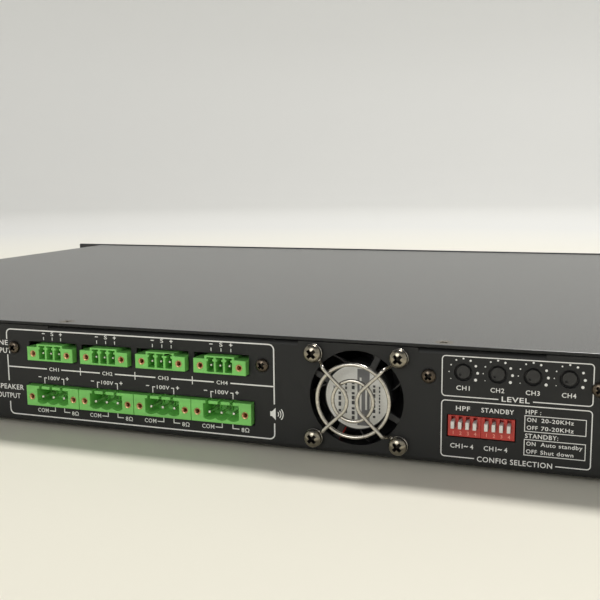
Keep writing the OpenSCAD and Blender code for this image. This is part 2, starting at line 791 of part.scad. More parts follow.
// Four-way slide switch, whose slots open on its red face
module option_switch(n) {
    slot_h = option_lever_h + option_travel + 2 * option_slot_gap;
    color("#b3302a") on_rear() difference() {
        translate([option_x + (n + 0.5) * option_w, option_face_in, option_z - option_h / 2])
            plate(option_w - 0.06, option_h, level_board_y - option_face_in);
        for (way = OPTION_WAYS) translate([option_way_x(n, way), option_face_in - 1,
            option_lever_top - option_lever_h - option_slot_gap + slot_h / 2])
                plate(option_lever_w + 2 * option_slot_gap, slot_h, option_slot_d + 1);
    }
}

function option_way_x(n, way) = option_x + (n + 0.5) * option_w + (way - 1.5) * option_pitch;

// A white lever in its lower position, and it travels up
module option_lever(n, way) {
    color("#e8e6dc") on_rear() translate([option_way_x(n, way), option_face_in - option_lever_out,
        option_lever_top - option_lever_h / 2])
            plate(option_lever_w, option_lever_h, option_lever_out + option_slot_d - option_slot_gap);
}

module level_board() {
    color("#1d5c36") on_rear() difference() {
        translate([55, level_board_y, 0.2]) plate(66, 30, board_t);
        for (p = LEVEL_SCREWS) translate([p[0], level_board_y - 1, p[1]]) along_y(board_t + 2, screw_d / 2);
    }
    color("#a8a8a4") on_rear() for (p = LEVEL_SCREWS) translate([p[0], sheet_t, p[1]]) difference() {
        along_y(level_board_y - sheet_t, 2.6);
        translate([0, -1, 0]) along_y(level_board_y, screw_d / 2);
    }
}

// ---- Mains inlet and fuse ----

module mains_inlet() {
    color("#1a1a1b") on_rear() translate([fan_x - inlet_x, 0, 0]) difference() {
        union() {
            translate([0, -2.4, 0]) plate(inlet_flange[0], inlet_flange[1], 2.4);
            plate(inlet_body[0], inlet_body[1], 19);
        }
        translate([0, -3.4, 0]) plate(inlet_cavity[0], inlet_cavity[1], inlet_cavity_d + 1);
        at_inlet_pins() plate(2, 4, 30);
        for (side = [-1, 1]) translate([side * inlet_screw_span / 2, -3, 0]) along_y(4, screw_hole_r);
    }
}

module at_inlet_pins() {
    for (side = [-1, 1]) translate([side * inlet_pin_span / 2, 0.6, -2]) children();
    translate([0, 0.6, 2]) children();
}

module inlet_pins() {
    color("#d9d4c2") on_rear() translate([fan_x - inlet_x, 0, 0]) at_inlet_pins() plate(2, 4, 24);
}

module fuse_holder() {
    color("#1a1a1b") on_rear() translate([fan_x - fuse_x, 0, 0]) difference() {
        union() {
            translate([0, -2, 0]) along_y(2, 8);
            along_y(36, fuse_body_r);
        }
        translate([0, -3, 0]) along_y(24, fuse_bore_r);
    }
}

// Bayonet cap, which turns in the holder and carries the fuse
module fuse_cap() {
    color("#222223") on_rear() translate([fan_x - fuse_x, 0, 0]) difference() {
        union() {
            translate([0, -5.4, 0]) along_y(3.3, 6.4);
            translate([0, -2.2, 0]) along_y(20, fuse_bore_r - running_gap);
        }
        translate([0, -6, 0]) plate(9, 1.4, 1.8);
    }
}

// ---- Boards and what stands on them ----

// A board that lies flat, given its ends along X, its depth and the y of its rear edge
module flat_board(ends, depth, y, top) {
    color("#1d5c36") translate([ends[0], y - depth, top - board_t]) cube([ends[1] - ends[0], depth, board_t]);
}

module amp_board() {
    difference() {
        flat_board(AMP_BOARD[0], AMP_BOARD[1], rear_y - board_gap_y, amp_board_top);
        for (i = CHANNELS, pin = [-1, 0, 1]) at_channel(i)
            translate([pin * speaker_pitch, speaker_d - speaker_out + 2.5 - speaker_pin_w, speaker_z0 - 4])
                plate(speaker_pin_w, 9, speaker_pin_w);
    }
}

module input_board() {
    difference() {
        flat_board(INPUT_BOARD[0], INPUT_BOARD[1], rear_y - board_gap_y, input_board_top);
        for (i = CHANNELS, pin = [-1, 0, 1]) at_channel(i)
            translate([pin * line_pitch, line_d - line_out + 2.5 - line_pin_w, line_z0 - 4])
                plate(line_pin_w, 9, line_pin_w);
    }
    color("#a8a8a4") on_rear() for (p = BOARD_SCREWS) translate([p[0], sheet_t, 0]) difference() {
        union() {
            translate([-3, 0, line_z0]) cube([6, 1.2, p[1] + 3 - line_z0]);
            translate([-3, 0, line_z0]) cube([6, 7, 1.2]);
        }
        translate([0, -1, p[1]]) along_y(4, screw_d / 2);
    }
}

module supply_board() {
    flat_board(SUPPLY_BOARD[0], SUPPLY_BOARD[1], supply_board_y, amp_board_top);
}

module heat_sink() {
    color("#9a9b9d") translate([-heat_sink_w / 2, heat_sink_y - heat_sink_d, amp_board_top]) {
        cube([heat_sink_w, heat_sink_d, 5]);
        translate([0, heat_sink_d - 4, 0]) cube([heat_sink_w, 4, heat_sink_h]);
        for (i = [0:fin_count - 1]) translate([i * (heat_sink_w - fin_t) / (fin_count - 1), 0, 4])
            cube([fin_t, heat_sink_d - 3, heat_sink_h - 4]);
    }
}

// Two transistors for each channel, flat against the heat sink's back
module power_transistors() {
    color("#2a2a2c") for (i = [0:7]) translate([(i - 3.5) * 17, heat_sink_y, amp_board_top + 4]) {
        translate([-5, 0, 0]) cube([10, 4.5, 9]);
        translate([-5, 0, 8.9]) cube([10, 1.3, 6.5]);
        for (leg = [-1, 0, 1]) translate([leg * 2.54 - 0.4, 2, -4]) cube([0.8, 0.6, 4.1]);
    }
}

module output_chokes() {
    color("#a8622c") for (i = CHANNELS)
        translate([-60 + i * 40, heat_sink_y + 19, amp_board_top + choke_wire_r])
            rotate_extrude() translate([choke_r, 0]) circle(r = choke_wire_r, $fn = 24);
}

module filter_capacitors() {
    color("#23252e") for (x = [128, 154, 180], row = [0, 1])
        translate([x, supply_board_y - 170 + row * 26, amp_board_top]) cylinder(h = 30, r = 11);
}

module supply_transformer() {
    translate([162, supply_board_y - 90, amp_board_top]) {
        color("#34363b") difference() {
            translate([-22, -18, 0]) cube([44, 36, 28]);
            translate([-14, -19, 5]) cube([28, 38, 18]);
        }
        color("#c59a3a") translate([-14, -24, 5]) cube([28, 48, 18]);
    }
}

// Metal posts that hold the boards up, each standing on the case floor or on the board below
module standoffs() {
    amp = AMP_BOARD[0];
    supply = SUPPLY_BOARD[0];
    color("#a8a8a4") {
        for (x = [amp[0] + 6, amp[1] - 6], y = [rear_y - 30, rear_y - 190])
            translate([x, y, floor_z]) cylinder(h = amp_board_top - board_t - floor_z, d = standoff_d);
        for (x = [supply[0] + 8, supply[1] - 12], y = [supply_board_y - 10, supply_board_y - 184])
            translate([x, y, floor_z]) cylinder(h = amp_board_top - board_t - floor_z, d = standoff_d);
        for (x = [INPUT_BOARD[0][0] + 6, INPUT_BOARD[0][1] - 6])
            translate([x, rear_y - 66, amp_board_top])
                cylinder(h = input_board_top - board_t - amp_board_top, d = standoff_d);
    }
}

module wiring() {
    color("#2d2d2f") cable(MAINS_ROUTE, mains_lead_r);
    color("#2d2d2f") cable(FUSE_ROUTE, thin_lead_r);
    color("#a02a22") cable(FAN_ROUTE, thin_lead_r);
    color("#8f9196") cable(DISPLAY_ROUTE, thin_lead_r);
    color("#8f9196") cable(LEVEL_ROUTE, thin_lead_r);
}

// ---- Nodes ----

chassis_tray();
top_cover();
front_panel();
rubber_feet();
cover_screws();
front_panel_screws();
rear_panel_screws();
fan_housing();
fan_rotor();
fan_label();
fan_guard();
fan_screws();
for (i = CHANNELS) {
    line_header(i);
    speaker_header(i);
    level_pot(i);
    level_shaft(i);
    option_lever(0, i);
    option_lever(1, i);
}
line_header_pins();
speaker_header_pins();
header_inserts();
option_switch(0);  // hpf_switch
option_switch(1);  // standby_switch
mains_inlet();
inlet_pins();
fuse_holder();
fuse_cap();
power_switch();
power_rocker();
front_leds();
display_board();
amp_board();
input_board();
level_board();
supply_board();
heat_sink();
power_transistors();
output_chokes();
filter_capacitors();
supply_transformer();
standoffs();
wiring();
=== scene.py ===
"""Visual model of a one-unit rack power amplifier, seen from its rear panel.

Builders work in millimetres and make_object() turns them into metres. The panel frame has its
origin at the fan's centre on the rear panel: x runs towards the level controls, y into the case, z up.
"""
import json
import math

import bmesh
import bpy
from mathutils import Matrix, Vector

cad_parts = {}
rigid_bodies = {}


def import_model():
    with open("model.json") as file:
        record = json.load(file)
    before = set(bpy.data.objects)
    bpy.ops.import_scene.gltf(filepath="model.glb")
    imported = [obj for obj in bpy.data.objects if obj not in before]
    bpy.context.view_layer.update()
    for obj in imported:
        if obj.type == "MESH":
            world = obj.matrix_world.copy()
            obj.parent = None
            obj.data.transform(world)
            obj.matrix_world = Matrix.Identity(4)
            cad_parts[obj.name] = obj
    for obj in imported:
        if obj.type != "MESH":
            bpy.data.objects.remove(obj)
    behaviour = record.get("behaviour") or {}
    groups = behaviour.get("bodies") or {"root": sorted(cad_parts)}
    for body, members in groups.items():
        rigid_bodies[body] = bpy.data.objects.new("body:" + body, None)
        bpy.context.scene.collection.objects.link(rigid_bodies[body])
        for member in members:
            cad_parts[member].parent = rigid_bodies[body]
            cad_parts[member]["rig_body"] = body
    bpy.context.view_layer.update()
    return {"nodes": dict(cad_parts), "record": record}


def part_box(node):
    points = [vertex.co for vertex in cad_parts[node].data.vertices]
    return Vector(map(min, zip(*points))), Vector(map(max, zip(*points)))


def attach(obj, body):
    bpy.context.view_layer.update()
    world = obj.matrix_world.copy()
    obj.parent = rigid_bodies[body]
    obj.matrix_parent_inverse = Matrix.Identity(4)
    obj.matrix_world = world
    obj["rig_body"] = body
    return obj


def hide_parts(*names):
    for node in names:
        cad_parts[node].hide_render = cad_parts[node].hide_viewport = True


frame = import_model()

MM = 0.001
SLOTS = {entry["node"]: entry["material_slot"] for entry in frame["record"]["subparts"]}

# ---- Sizes in millimetres, in the panel frame unless a comment says otherwise ----

SHEET = 1.2
INK = 0.03
CHANNELS = range(4)
CHANNEL_1_X = -129.14
CHANNEL_PITCH = 25.4
SPEAKER_PITCH = 5.08
GUARD_WIRE = 1.4
GUARD_OUT = 6.2
GUARD_RINGS = (26.8, 15.0)
GUARD_EYE = 5.8
FAN_SCREW_SPAN = 32.0
FAN_SCREW_HEAD = 6.8
FAN_BORE_R = 18.9
FAN_HUB_R = 12.4
FAN_GAP = 0.7
LABEL_Y = SHEET + FAN_GAP
LABEL_R = 11.9
LABEL_T = 0.12
BLADES = 7
BLADE_START = math.radians(11.4)
BLADE_SWEEP = 0.24
PANEL_SCREW_HEAD = 5.2
FAN_SCREW_RISE = 2.4
PANEL_SCREW_RISE = 1.8
BOARD_SCREWS = ((-148.5, 10.3), (-36.4, 9.9), (26.5, 10.2), (83.2, 9.5))
INLET_SCREW_SPAN = 40
INLET_FLANGE = 2.4
LEVEL_1_X = 38.5
LEVEL_PITCH = 11.7
LEVEL_Z = 12.3
LEVEL_FACE_R = 2.5
LEVEL_POINTER = 223
LEVEL_DOTS_R = 4.9
BOX_LEFT = 31.2
BOX_RIGHT = 81.2
SWITCH_X = 33.4
SWITCH_W = 11.5
WAY_PITCH = 2.54
LAMP_XS = (40, 52, 64, 76)
POWER_LAMP_X = 150
LAMP_R = 1.5
ROCKER_X = 190


def middle(node):
    """Centre of a CAD node's box, in metres."""
    low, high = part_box(node)
    return (low + high) / 2


REAR_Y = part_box("chassis_tray")[1].y
FACE_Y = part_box("front_panel")[0].y
FAN = middle("fan_housing")
TO_REAR = Matrix.Translation((FAN.x, REAR_Y, FAN.z)) @ Matrix.Rotation(math.pi, 4, "Z")
TO_FRONT = Matrix.Translation((0, FACE_Y, FAN.z))
UPRIGHT = Matrix.Rotation(math.radians(90), 4, "X")


# ---- Objects ----

def make_object(name, bm, to_frame=Matrix.Identity(4), crease=35):
    """A piece from a mesh in millimetres, placed by to_frame; edges past the crease angle stay sharp."""
    mesh = bpy.data.meshes.new(name)
    bmesh.ops.recalc_face_normals(bm, faces=bm.faces)
    bm.to_mesh(mesh)
    bm.free()
    mesh.transform(to_frame @ Matrix.Scale(MM, 4))
    shade(mesh, crease)
    piece = bpy.data.objects.new(name, mesh)
    bpy.context.scene.collection.objects.link(piece)
    return piece


def shade(mesh, crease):
    mesh.shade_smooth()
    mesh.set_sharp_from_angle(angle=math.radians(crease))


def finish_piece(piece, body, material, slot, *nodes):
    """Gives a piece its material if it has none and its body, and hides the CAD nodes that it stands for. The
    slot argument is not used.
    """
    if not piece.data.materials:
        piece.data.materials.append(material)
    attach(piece, body)
    if nodes:
        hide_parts(*nodes)
    return piece


def apply_modifiers(piece):
    """Turns a piece's modifiers into its mesh."""
    graph = bpy.context.evaluated_depsgraph_get()
    mesh = bpy.data.meshes.new_from_object(piece.evaluated_get(graph))
    piece.modifiers.clear()
    piece.data = mesh
    return piece


def round_edges(piece, width, angle=30, harden=True):
    """Rounds by width, in millimetres, a piece's edges that turn by more than angle."""
    bevel = piece.modifiers.new("round", "BEVEL")
    bevel.width = width * MM
    bevel.segments = 2
    bevel.limit_method = "ANGLE"
    bevel.angle_limit = math.radians(angle)
    bevel.use_clamp_overlap = False
    bevel.harden_normals = harden
    apply_modifiers(piece)


def flatten_walls(mesh):
    """Flat shading on every face square to an axis, so that no wall shows the shading of its edges."""
    for face in mesh.polygons:
        if max(abs(part) for part in face.normal) > 0.99999:
            face.use_smooth = False


def hold_in_box(mesh, source):
    """Moves every vertex back inside source's own box, as rounding throws a few out where edges are short."""
    corners = [Vector(corner) for corner in source.bound_box]
    low = [min(corner[axis] for corner in corners) for axis in range(3)]
    high = [max(corner[axis] for corner in corners) for axis in range(3)]
    for vertex in mesh.vertices:
        vertex.co = [min(max(part, low[axis]), high[axis]) for axis, part in enumerate(vertex.co)]


def soften(node, width, material):
    """A copy of a CAD node with rounded edges, which stands for the node and rides on its body."""
    source = frame["nodes"][node]
    bm = bmesh.new()
    bm.from_mesh(source.data)
    bmesh.ops.remove_doubles(bm, verts=bm.verts, dist=1e-6)
    bmesh.ops.dissolve_limit(bm, angle_limit=math.radians(0.3), verts=bm.verts, edges=bm.edges)
    bmesh.ops.scale(bm, vec=(1 / MM,) * 3, verts=bm.verts)
    piece = make_object(f"{node}_body", bm)
    round_edges(piece, width, harden=False)
    hold_in_box(piece.data, source)
    flatten_walls(piece.data)
    return finish_piece(piece, source["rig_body"], material, SLOTS[node], node)


# ---- Mesh helpers ----

def add_lathe(bm, profile, to_place=Matrix.Identity(4), steps=48):
    """A solid of revolution about y, from (radius, y) points whose ends lie on the axis."""
    rings = []
    for radius, y in profile:
        if radius < 1e-6:
            rings.append([bm.verts.new(to_place @ Vector((0, y, 0)))])
            continue
        turns = (2 * math.pi * k / steps for k in range(steps))
        points = [Vector((radius * math.cos(a), y, radius * math.sin(a))) for a in turns]
        rings.append([bm.verts.new(to_place @ point) for point in points])
    for near, far in zip(rings, rings[1:]):
        for k in range(steps):
            after = (k + 1) % steps
            corners = [near[k % len(near)], near[after % len(near)], far[after % len(far)], far[k % len(far)]]
            unique = list(dict.fromkeys(corners))
            if len(unique) > 2:
                bm.faces.new(unique)


def add_ring(bm, profile, to_place=Matrix.Identity(4), steps=48):
    """A solid of revolution about y, from a closed loop of (radius, y) points off the axis."""
    rings = []
    for k in range(steps):
        a = 2 * math.pi * k / steps
        points = [Vector((r * math.cos(a), y, r * math.sin(a))) for r, y in profile]
        rings.append([bm.verts.new(to_place @ point) for point in points])
    count = len(profile)
    for k in range(steps):
        here, after = rings[k], rings[(k + 1) % steps]
        for j in range(count):
            bm.faces.new((here[j], here[(j + 1) % count], after[(j + 1) % count], after[j]))


def circle_points(radius, count, centre=(0, 0)):
    """Points round a circle, as (radius, y) pairs or other pairs."""
    turns = (2 * math.pi * k / count for k in range(count))
    return [(centre[0] + radius * math.cos(a), centre[1] + radius * math.sin(a)) for a in turns]


def smooth_path(points, steps=6):
    """Catmull-Rom curve through points."""
    path = []
    ends = [points[0], *points, points[-1]]
    for a, b, c, d in zip(ends, ends[1:], ends[2:], ends[3:]):
        a, b, c, d = map(Vector, (a, b, c, d))
        for k in range(steps):
            t = k / steps
            path.append(b + (c - a) * t / 2 + (2 * a - 5 * b + 4 * c - d) * t ** 2 / 2
                        + (3 * b - a - 3 * c + d) * t ** 3 / 2)
    path.append(Vector(points[-1]))
    return path


def add_tube(bm, path, radius, sides=16):
    """A round tube along a path, with closed ends."""
    rings = []
    side = None
    for i, point in enumerate(path):
        along = (path[min(i + 1, len(path) - 1)] - path[max(i - 1, 0)]).normalized()
        if side is None:
            side = along.orthogonal().normalized()
        side = (side - along * side.dot(along)).normalized()
        across = along.cross(side)
        turns = (2 * math.pi * k / sides for k in range(sides))
        spokes = [radius * (math.cos(a) * side + math.sin(a) * across) for a in turns]
        rings.append([bm.verts.new(point + spoke) for spoke in spokes])
    for near, far in zip(rings, rings[1:]):
        for k in range(sides):
            bm.faces.new((near[k], near[(k + 1) % sides], far[(k + 1) % sides], far[k]))
    bm.faces.new(rings[0])
    bm.faces.new(rings[-1])


def cut(piece, cutter):
    """Takes a cutter away from a piece and removes the cutter."""
    boolean = piece.modifiers.new("cut", "BOOLEAN")
    boolean.operation = "DIFFERENCE"
    boolean.solver = "EXACT"
    boolean.object = cutter
    apply_modifiers(piece)
    bpy.data.objects.remove(cutter)
    return piece


def add_cross_taper(bm, width, thickness, top, bottom, to_place):
    """The tapered cross of a screwdriver tip, from y = top to y = bottom."""
    spin = to_place @ Matrix.Rotation(math.radians(45), 4, "Y")
    ends = []
    for y, reach in ((top, 1.0), (bottom, 0.45)):
        a, b = width / 2 * reach, thickness / 2 * (0.5 + 0.5 * reach)
        quarter = [Vector((b, a)), Vector((b, b)), Vector((a, b))]
        outline = []
        for turn in (0, -90, -180, -270):
            outline += [Matrix.Rotation(math.radians(turn), 2) @ point for point in quarter]
        ends.append([bm.verts.new(spin @ Vector((p.x, y, p.y))) for p in outline])
    near, far = ends
    bm.faces.new(near)
    bm.faces.new(far)
    for k in range(len(near)):
        after = (k + 1) % len(near)
        bm.faces.new((near[k], near[after], far[after], far[k]))


# ---- Materials ----

def new_material(name, base, roughness, metallic=0.0, coat=0.0, specular=0.5):
    """A Principled material, and the nodes that its detail hangs on."""
    made = bpy.data.materials.new(name)
    made.use_nodes = True
    tree = made.node_tree
    shader = tree.nodes["Principled BSDF"]
    shader.inputs["Base Color"].default_value = (*base, 1)
    shader.inputs["Roughness"].default_value = roughness
    shader.inputs["Metallic"].default_value = metallic
    shader.inputs["Coat Weight"].default_value = coat
    shader.inputs["Specular IOR Level"].default_value = specular
    return made, tree, shader


def place_texture(tree, scale=(1, 1, 1)):
    """Object coordinates in metres, stretched by scale."""
    where = tree.nodes.new("ShaderNodeTexCoord")
    mapping = tree.nodes.new("ShaderNodeMapping")
    mapping.inputs["Scale"].default_value = scale
    tree.links.new(where.outputs["Object"], mapping.inputs["Vector"])
    return mapping.outputs["Vector"]


def add_noise(tree, vector, scale, detail=4.0, rough=0.55):
    noise = tree.nodes.new("ShaderNodeTexNoise")
    noise.inputs["Scale"].default_value = scale
    noise.inputs["Detail"].default_value = detail
    noise.inputs["Roughness"].default_value = rough
    tree.links.new(vector, noise.inputs["Vector"])
    return noise.outputs["Fac"]


def add_ramp(tree, factor, stops):
    """A colour ramp over (position, colour) stops."""
    ramp = tree.nodes.new("ShaderNodeValToRGB")
    elements = ramp.color_ramp.elements
    while len(elements) < len(stops):
        elements.new(1.0)
    for element, (position, colour) in zip(elements, stops):
        element.position = position
        element.color = (*colour, 1)
    tree.links.new(factor, ramp.inputs["Fac"])
    return ramp.outputs["Color"]


def add_bump(tree, shader, height, strength, distance):
    bump = tree.nodes.new("ShaderNodeBump")
    bump.inputs["Strength"].default_value = strength
    bump.inputs["Distance"].default_value = distance
    tree.links.new(height, bump.inputs["Height"])
    tree.links.new(bump.outputs["Normal"], shader.inputs["Normal"])


def add_range(tree, factor, low, high):
    """Maps a factor from 0..1 to low..high."""
    remap = tree.nodes.new("ShaderNodeMapRange")
    remap.inputs["To Min"].default_value = low
    remap.inputs["To Max"].default_value = high
    tree.links.new(factor, remap.inputs["Value"])
    return remap.outputs["Result"]


def add_scaled(tree, value, low, high):
    """Maps a value from low..high to 0..1."""
    remap = tree.nodes.new("ShaderNodeMapRange")
    remap.inputs["From Min"].default_value = low
    remap.inputs["From Max"].default_value = high
    tree.links.new(value, remap.inputs["Value"])
    return remap.outputs["Result"]


def shaded(colour, share):
    return tuple(min(1.0, part * share) for part in colour)


def powder_coat(name, colour, roughness, grain=0.5, specular=0.5, sheen=0.0):
    """Baked paint with a fine grain, faint patches and slightly uneven gloss."""
    made, tree, shader = new_material(name, colour, roughness, specular=specular)
    shader.inputs["Sheen Weight"].default_value = sheen
    shader.inputs["Sheen Roughness"].default_value = 0.35
    where = place_texture(tree)
    patches = add_noise(tree, where, 9.0, 3.0)
    tone = add_ramp(tree, patches, ((0.3, shaded(colour, 0.9)), (0.7, shaded(colour, 1.12))))
    tree.links.new(tone, shader.inputs["Base Color"])
    fine = add_noise(tree, where, 2600.0, 2.0)
    tree.links.new(add_range(tree, fine, roughness - 0.05, roughness + 0.07), shader.inputs["Roughness"])
    add_bump(tree, shader, fine, grain, 0.00004)
    return made


def moulded(name, colour, roughness, grain=0.25, coat=0.0):
    """Moulded plastic: a fine spark-eroded texture and faint flow marks."""
    made, tree, shader = new_material(name, colour, roughness, coat=coat)
    where = place_texture(tree)
    flow = add_noise(tree, place_texture(tree, (60, 60, 220)), 1.0, 3.0)
    tone = add_ramp(tree, flow, ((0.3, shaded(colour, 0.88)), (0.7, shaded(colour, 1.1))))
    tree.links.new(tone, shader.inputs["Base Color"])
    fine = add_noise(tree, where, 3500.0, 3.0)
    tree.links.new(add_range(tree, fine, roughness - 0.06, roughness + 0.08), shader.inputs["Roughness"])
    add_bump(tree, shader, fine, grain, 0.00003)
    return made


def plated(name, colour, roughness, grain=0.2):
    """Plated metal: slightly clouded, with fine handling marks."""
    scale = 900.0
    made, tree, shader = new_material(name, colour, roughness, metallic=1.0)
    where = place_texture(tree)
    clouds = add_noise(tree, where, scale, 4.0)
    tone = add_ramp(tree, clouds, ((0.25, shaded(colour, 0.72)), (0.7, shaded(colour, 1.12))))
    tree.links.new(tone, shader.inputs["Base Color"])
    tree.links.new(add_range(tree, clouds, roughness - 0.08, roughness + 0.14), shader.inputs["Roughness"])
    marks = add_noise(tree, where, scale * 4, 3.0)
    add_bump(tree, shader, marks, grain, 0.00002)
    return made


def brushed(name, colour, roughness, along):
    """Metal with fine lines along one axis, whose coordinate is stretched least."""
    made, tree, shader = new_material(name, colour, roughness, metallic=1.0)
    lines = add_noise(tree, place_texture(tree, along), 1.0, 5.0, 0.7)
    tone = add_ramp(tree, lines, ((0.3, shaded(colour, 0.8)), (0.7, shaded(colour, 1.1))))
    tree.links.new(tone, shader.inputs["Base Color"])
    tree.links.new(add_range(tree, lines, roughness - 0.07, roughness + 0.1), shader.inputs["Roughness"])
    add_bump(tree, shader, lines, 0.25, 0.00002)
    return made


def circuit_board(name, colour):
    """Solder mask over copper tracks, which show as slightly lighter, raised stripes."""
    made, tree, shader = new_material(name, colour, 0.35, coat=0.4)
    where = place_texture(tree, (160, 160, 160))
    tracks = tree.nodes.new("ShaderNodeTexBrick")
    tracks.inputs["Scale"].default_value = 1.4
    tracks.inputs["Mortar Size"].default_value = 0.03
    tracks.inputs["Color1"].default_value = (*colour, 1)
    tracks.inputs["Color2"].default_value = (*shaded(colour, 0.8), 1)
    tracks.inputs["Mortar"].default_value = (*shaded(colour, 1.8), 1)
    tree.links.new(where, tracks.inputs["Vector"])
    tree.links.new(tracks.outputs["Color"], shader.inputs["Base Color"])
    add_bump(tree, shader, tracks.outputs["Fac"], 0.3, 0.00003)
    return made


def ink(name, colour, roughness=0.55):
    """Screen-printed ink, with a slightly uneven body."""
    made, tree, shader = new_material(name, colour, roughness)
    grain = add_noise(tree, place_texture(tree), 1800.0, 3.0)
    tone = add_ramp(tree, grain, ((0.3, shaded(colour, 0.9)), (0.65, colour)))
    tree.links.new(tone, shader.inputs["Base Color"])
    return made


MATERIALS = {
    # Painted light: cover_paint is a lighter copy of the case's dark paint, its base about twice as bright,
    # for the light the cover's top catches.
    "cover_paint": powder_coat("cover_paint", (0.026, 0.026, 0.0265), 0.27, 0.35, 1.0, 0.1),
    "chassis_paint": powder_coat("chassis_paint", (0.012, 0.0125, 0.0125), 0.52, 0.35, 0.35),
    "front_paint": powder_coat("front_paint", (0.025, 0.025, 0.027), 0.42, 0.4),
    "foot_rubber": moulded("foot_rubber", (0.02, 0.02, 0.02), 0.75, 0.4),
    "cover_screw_steel": plated("cover_screw_steel", (0.2, 0.18, 0.15), 0.34),
    "panel_screw_steel": plated("panel_screw_steel", (0.13, 0.105, 0.08), 0.27),
    "fan_screw_steel": plated("fan_screw_steel", (0.33, 0.3, 0.24), 0.2),
    "fan_plastic": moulded("fan_plastic", (0.018, 0.018, 0.019), 0.42, 0.3),
    "label_foil": ink("label_foil", (0.76, 0.755, 0.72), 0.35),
    "guard_wire": plated("guard_wire", (0.6, 0.57, 0.51), 0.2, 0.1),
    "header_green": moulded("header_green", (0.2, 0.62, 0.13), 0.36, 0.25, 0.15),
    "tinned_pin": plated("tinned_pin", (0.75, 0.73, 0.68), 0.28),
    "insert_copper": plated("insert_copper", (0.66, 0.38, 0.2), 0.28),
    "pot_case": moulded("pot_case", (0.009, 0.009, 0.01), 0.5),
    "control_face": moulded("control_face", (0.016, 0.016, 0.0155), 0.42, 0.3),
    "switch_red": moulded("switch_red", (0.5, 0.03, 0.02), 0.34, 0.2, 0.2),
    "lever_white": moulded("lever_white", (0.75, 0.74, 0.7), 0.35, 0.15, 0.2),
    "inlet_black": moulded("inlet_black", (0.018, 0.018, 0.019), 0.4, 0.35),
    "rocker_red": moulded("rocker_red", (0.3, 0.012, 0.01), 0.28, 0.15, 0.3),
    "board_green": circuit_board("board_green", (0.012, 0.09, 0.035)),
    "bare_aluminium": brushed("bare_aluminium", (0.62, 0.63, 0.64), 0.34, (20, 900, 900)),
    "transistor_black": moulded("transistor_black", (0.02, 0.02, 0.021), 0.5),
    "copper_wire": plated("copper_wire", (0.62, 0.24, 0.08), 0.3),
    "capacitor_sleeve": moulded("capacitor_sleeve", (0.02, 0.025, 0.06), 0.3, 0.1, 0.3),
    "transformer_core": moulded("transformer_core", (0.05, 0.05, 0.055), 0.6),
    "post_steel": plated("post_steel", (0.66, 0.66, 0.63), 0.3),
    "lead_sleeve": moulded("lead_sleeve", (0.03, 0.03, 0.032), 0.45),
}
PANEL_INK = ink("panel_ink", (0.86, 0.86, 0.84))
LABEL_INK = ink("label_ink", (0.05, 0.05, 0.055), 0.4)
LABEL_GREY = ink("label_grey", (0.16, 0.16, 0.165), 0.4)
SWITCH_INK = ink("switch_ink", (0.85, 0.34, 0.26), 0.5)
# Painted shade: a dark colour for the faces inside the screws' cross recesses, in place of the shade that
# falls in them.
PAINTED_RECESS_SHADE = plated("recess", (0.035, 0.032, 0.028), 0.5)
LEAD_RED = moulded("lead_red", (0.45, 0.03, 0.02), 0.4)


# ---- Printing ----

def add_stroke(bm, path, width, closed=False):
    """A thin solid line of ink along (x, z) points, standing out from y = 0."""
    points = [Vector(p) for p in path]
    count = len(points)
    rows = []
    for i, point in enumerate(points):
        before = points[i - 1] if i or closed else points[i]
        after = points[(i + 1) % count] if i + 1 < count or closed else points[i]
        first = (point - before).normalized() if (point - before).length else (after - point).normalized()
        second = (after - point).normalized() if (after - point).length else first
        along = (first + second).normalized()
        reach = width / 2 / max(0.4, along.dot(first))
        across = Vector((-along.y, along.x)) * reach
        left, right = point + across, point - across
        rows.append([bm.verts.new((left.x, -INK, left.y)), bm.verts.new((right.x, -INK, right.y)),
                     bm.verts.new((right.x, 0, right.y)), bm.verts.new((left.x, 0, left.y))])
    spans = range(count if closed else count - 1)
    for i in spans:
        here, there = rows[i], rows[(i + 1) % count]
        for k in range(4):
            bm.faces.new((here[k], here[(k + 1) % 4], there[(k + 1) % 4], there[k]))
    if not closed:
        bm.faces.new(rows[0])
        bm.faces.new(rows[-1])


def add_disc(bm, x, z, radius):
    """A thin round dot of ink."""
    add_lathe(bm, ((0, -INK), (radius, -INK), (radius, 0), (0, 0)), Matrix.Translation((x, 0, z)), 20)


def rounded_corner(x, z, radius, start):
    """Points of a quarter circle about (x, z), from start degrees."""
    steps = 5
    turns = (math.radians(start + 90 * k / steps) for k in range(steps + 1))
    return [(x + radius * math.cos(a), z + radius * math.sin(a)) for a in turns]


def add_text(bm, words, x, z, height, width=None, align=0.5, bold=0.01):
    """Ink letters of a cap height, squeezed to a width if one is given.

    With align at 0, 0.5 or 1, x is their left edge, their middle or their right edge.
    """
    curve = bpy.data.curves.new("letters", "FONT")
    curve.body = words
    curve.offset = bold
    curve.extrude = 0.5
    curve.resolution_u = 3
    curve.space_character = 1.1
    holder = bpy.data.objects.new("letters", curve)
    bpy.context.scene.collection.objects.link(holder)
    bpy.context.view_layer.update()
    graph = bpy.context.evaluated_depsgraph_get()
    mesh = bpy.data.meshes.new_from_object(holder.evaluated_get(graph))
    bpy.data.objects.remove(holder)
    xs = [v.co.x for v in mesh.vertices]
    low, high = min(xs), max(xs)
    tall = height / CAP_HEIGHT
    wide = width / (high - low) if width else tall
    shift = x - wide * (low + align * (high - low))
    flat = Matrix.Translation((shift, -INK / 2, z)) @ UPRIGHT @ Matrix.Diagonal((wide, tall, INK, 1))
    mesh.transform(flat)
    bm.from_mesh(mesh)
    bpy.data.meshes.remove(mesh)


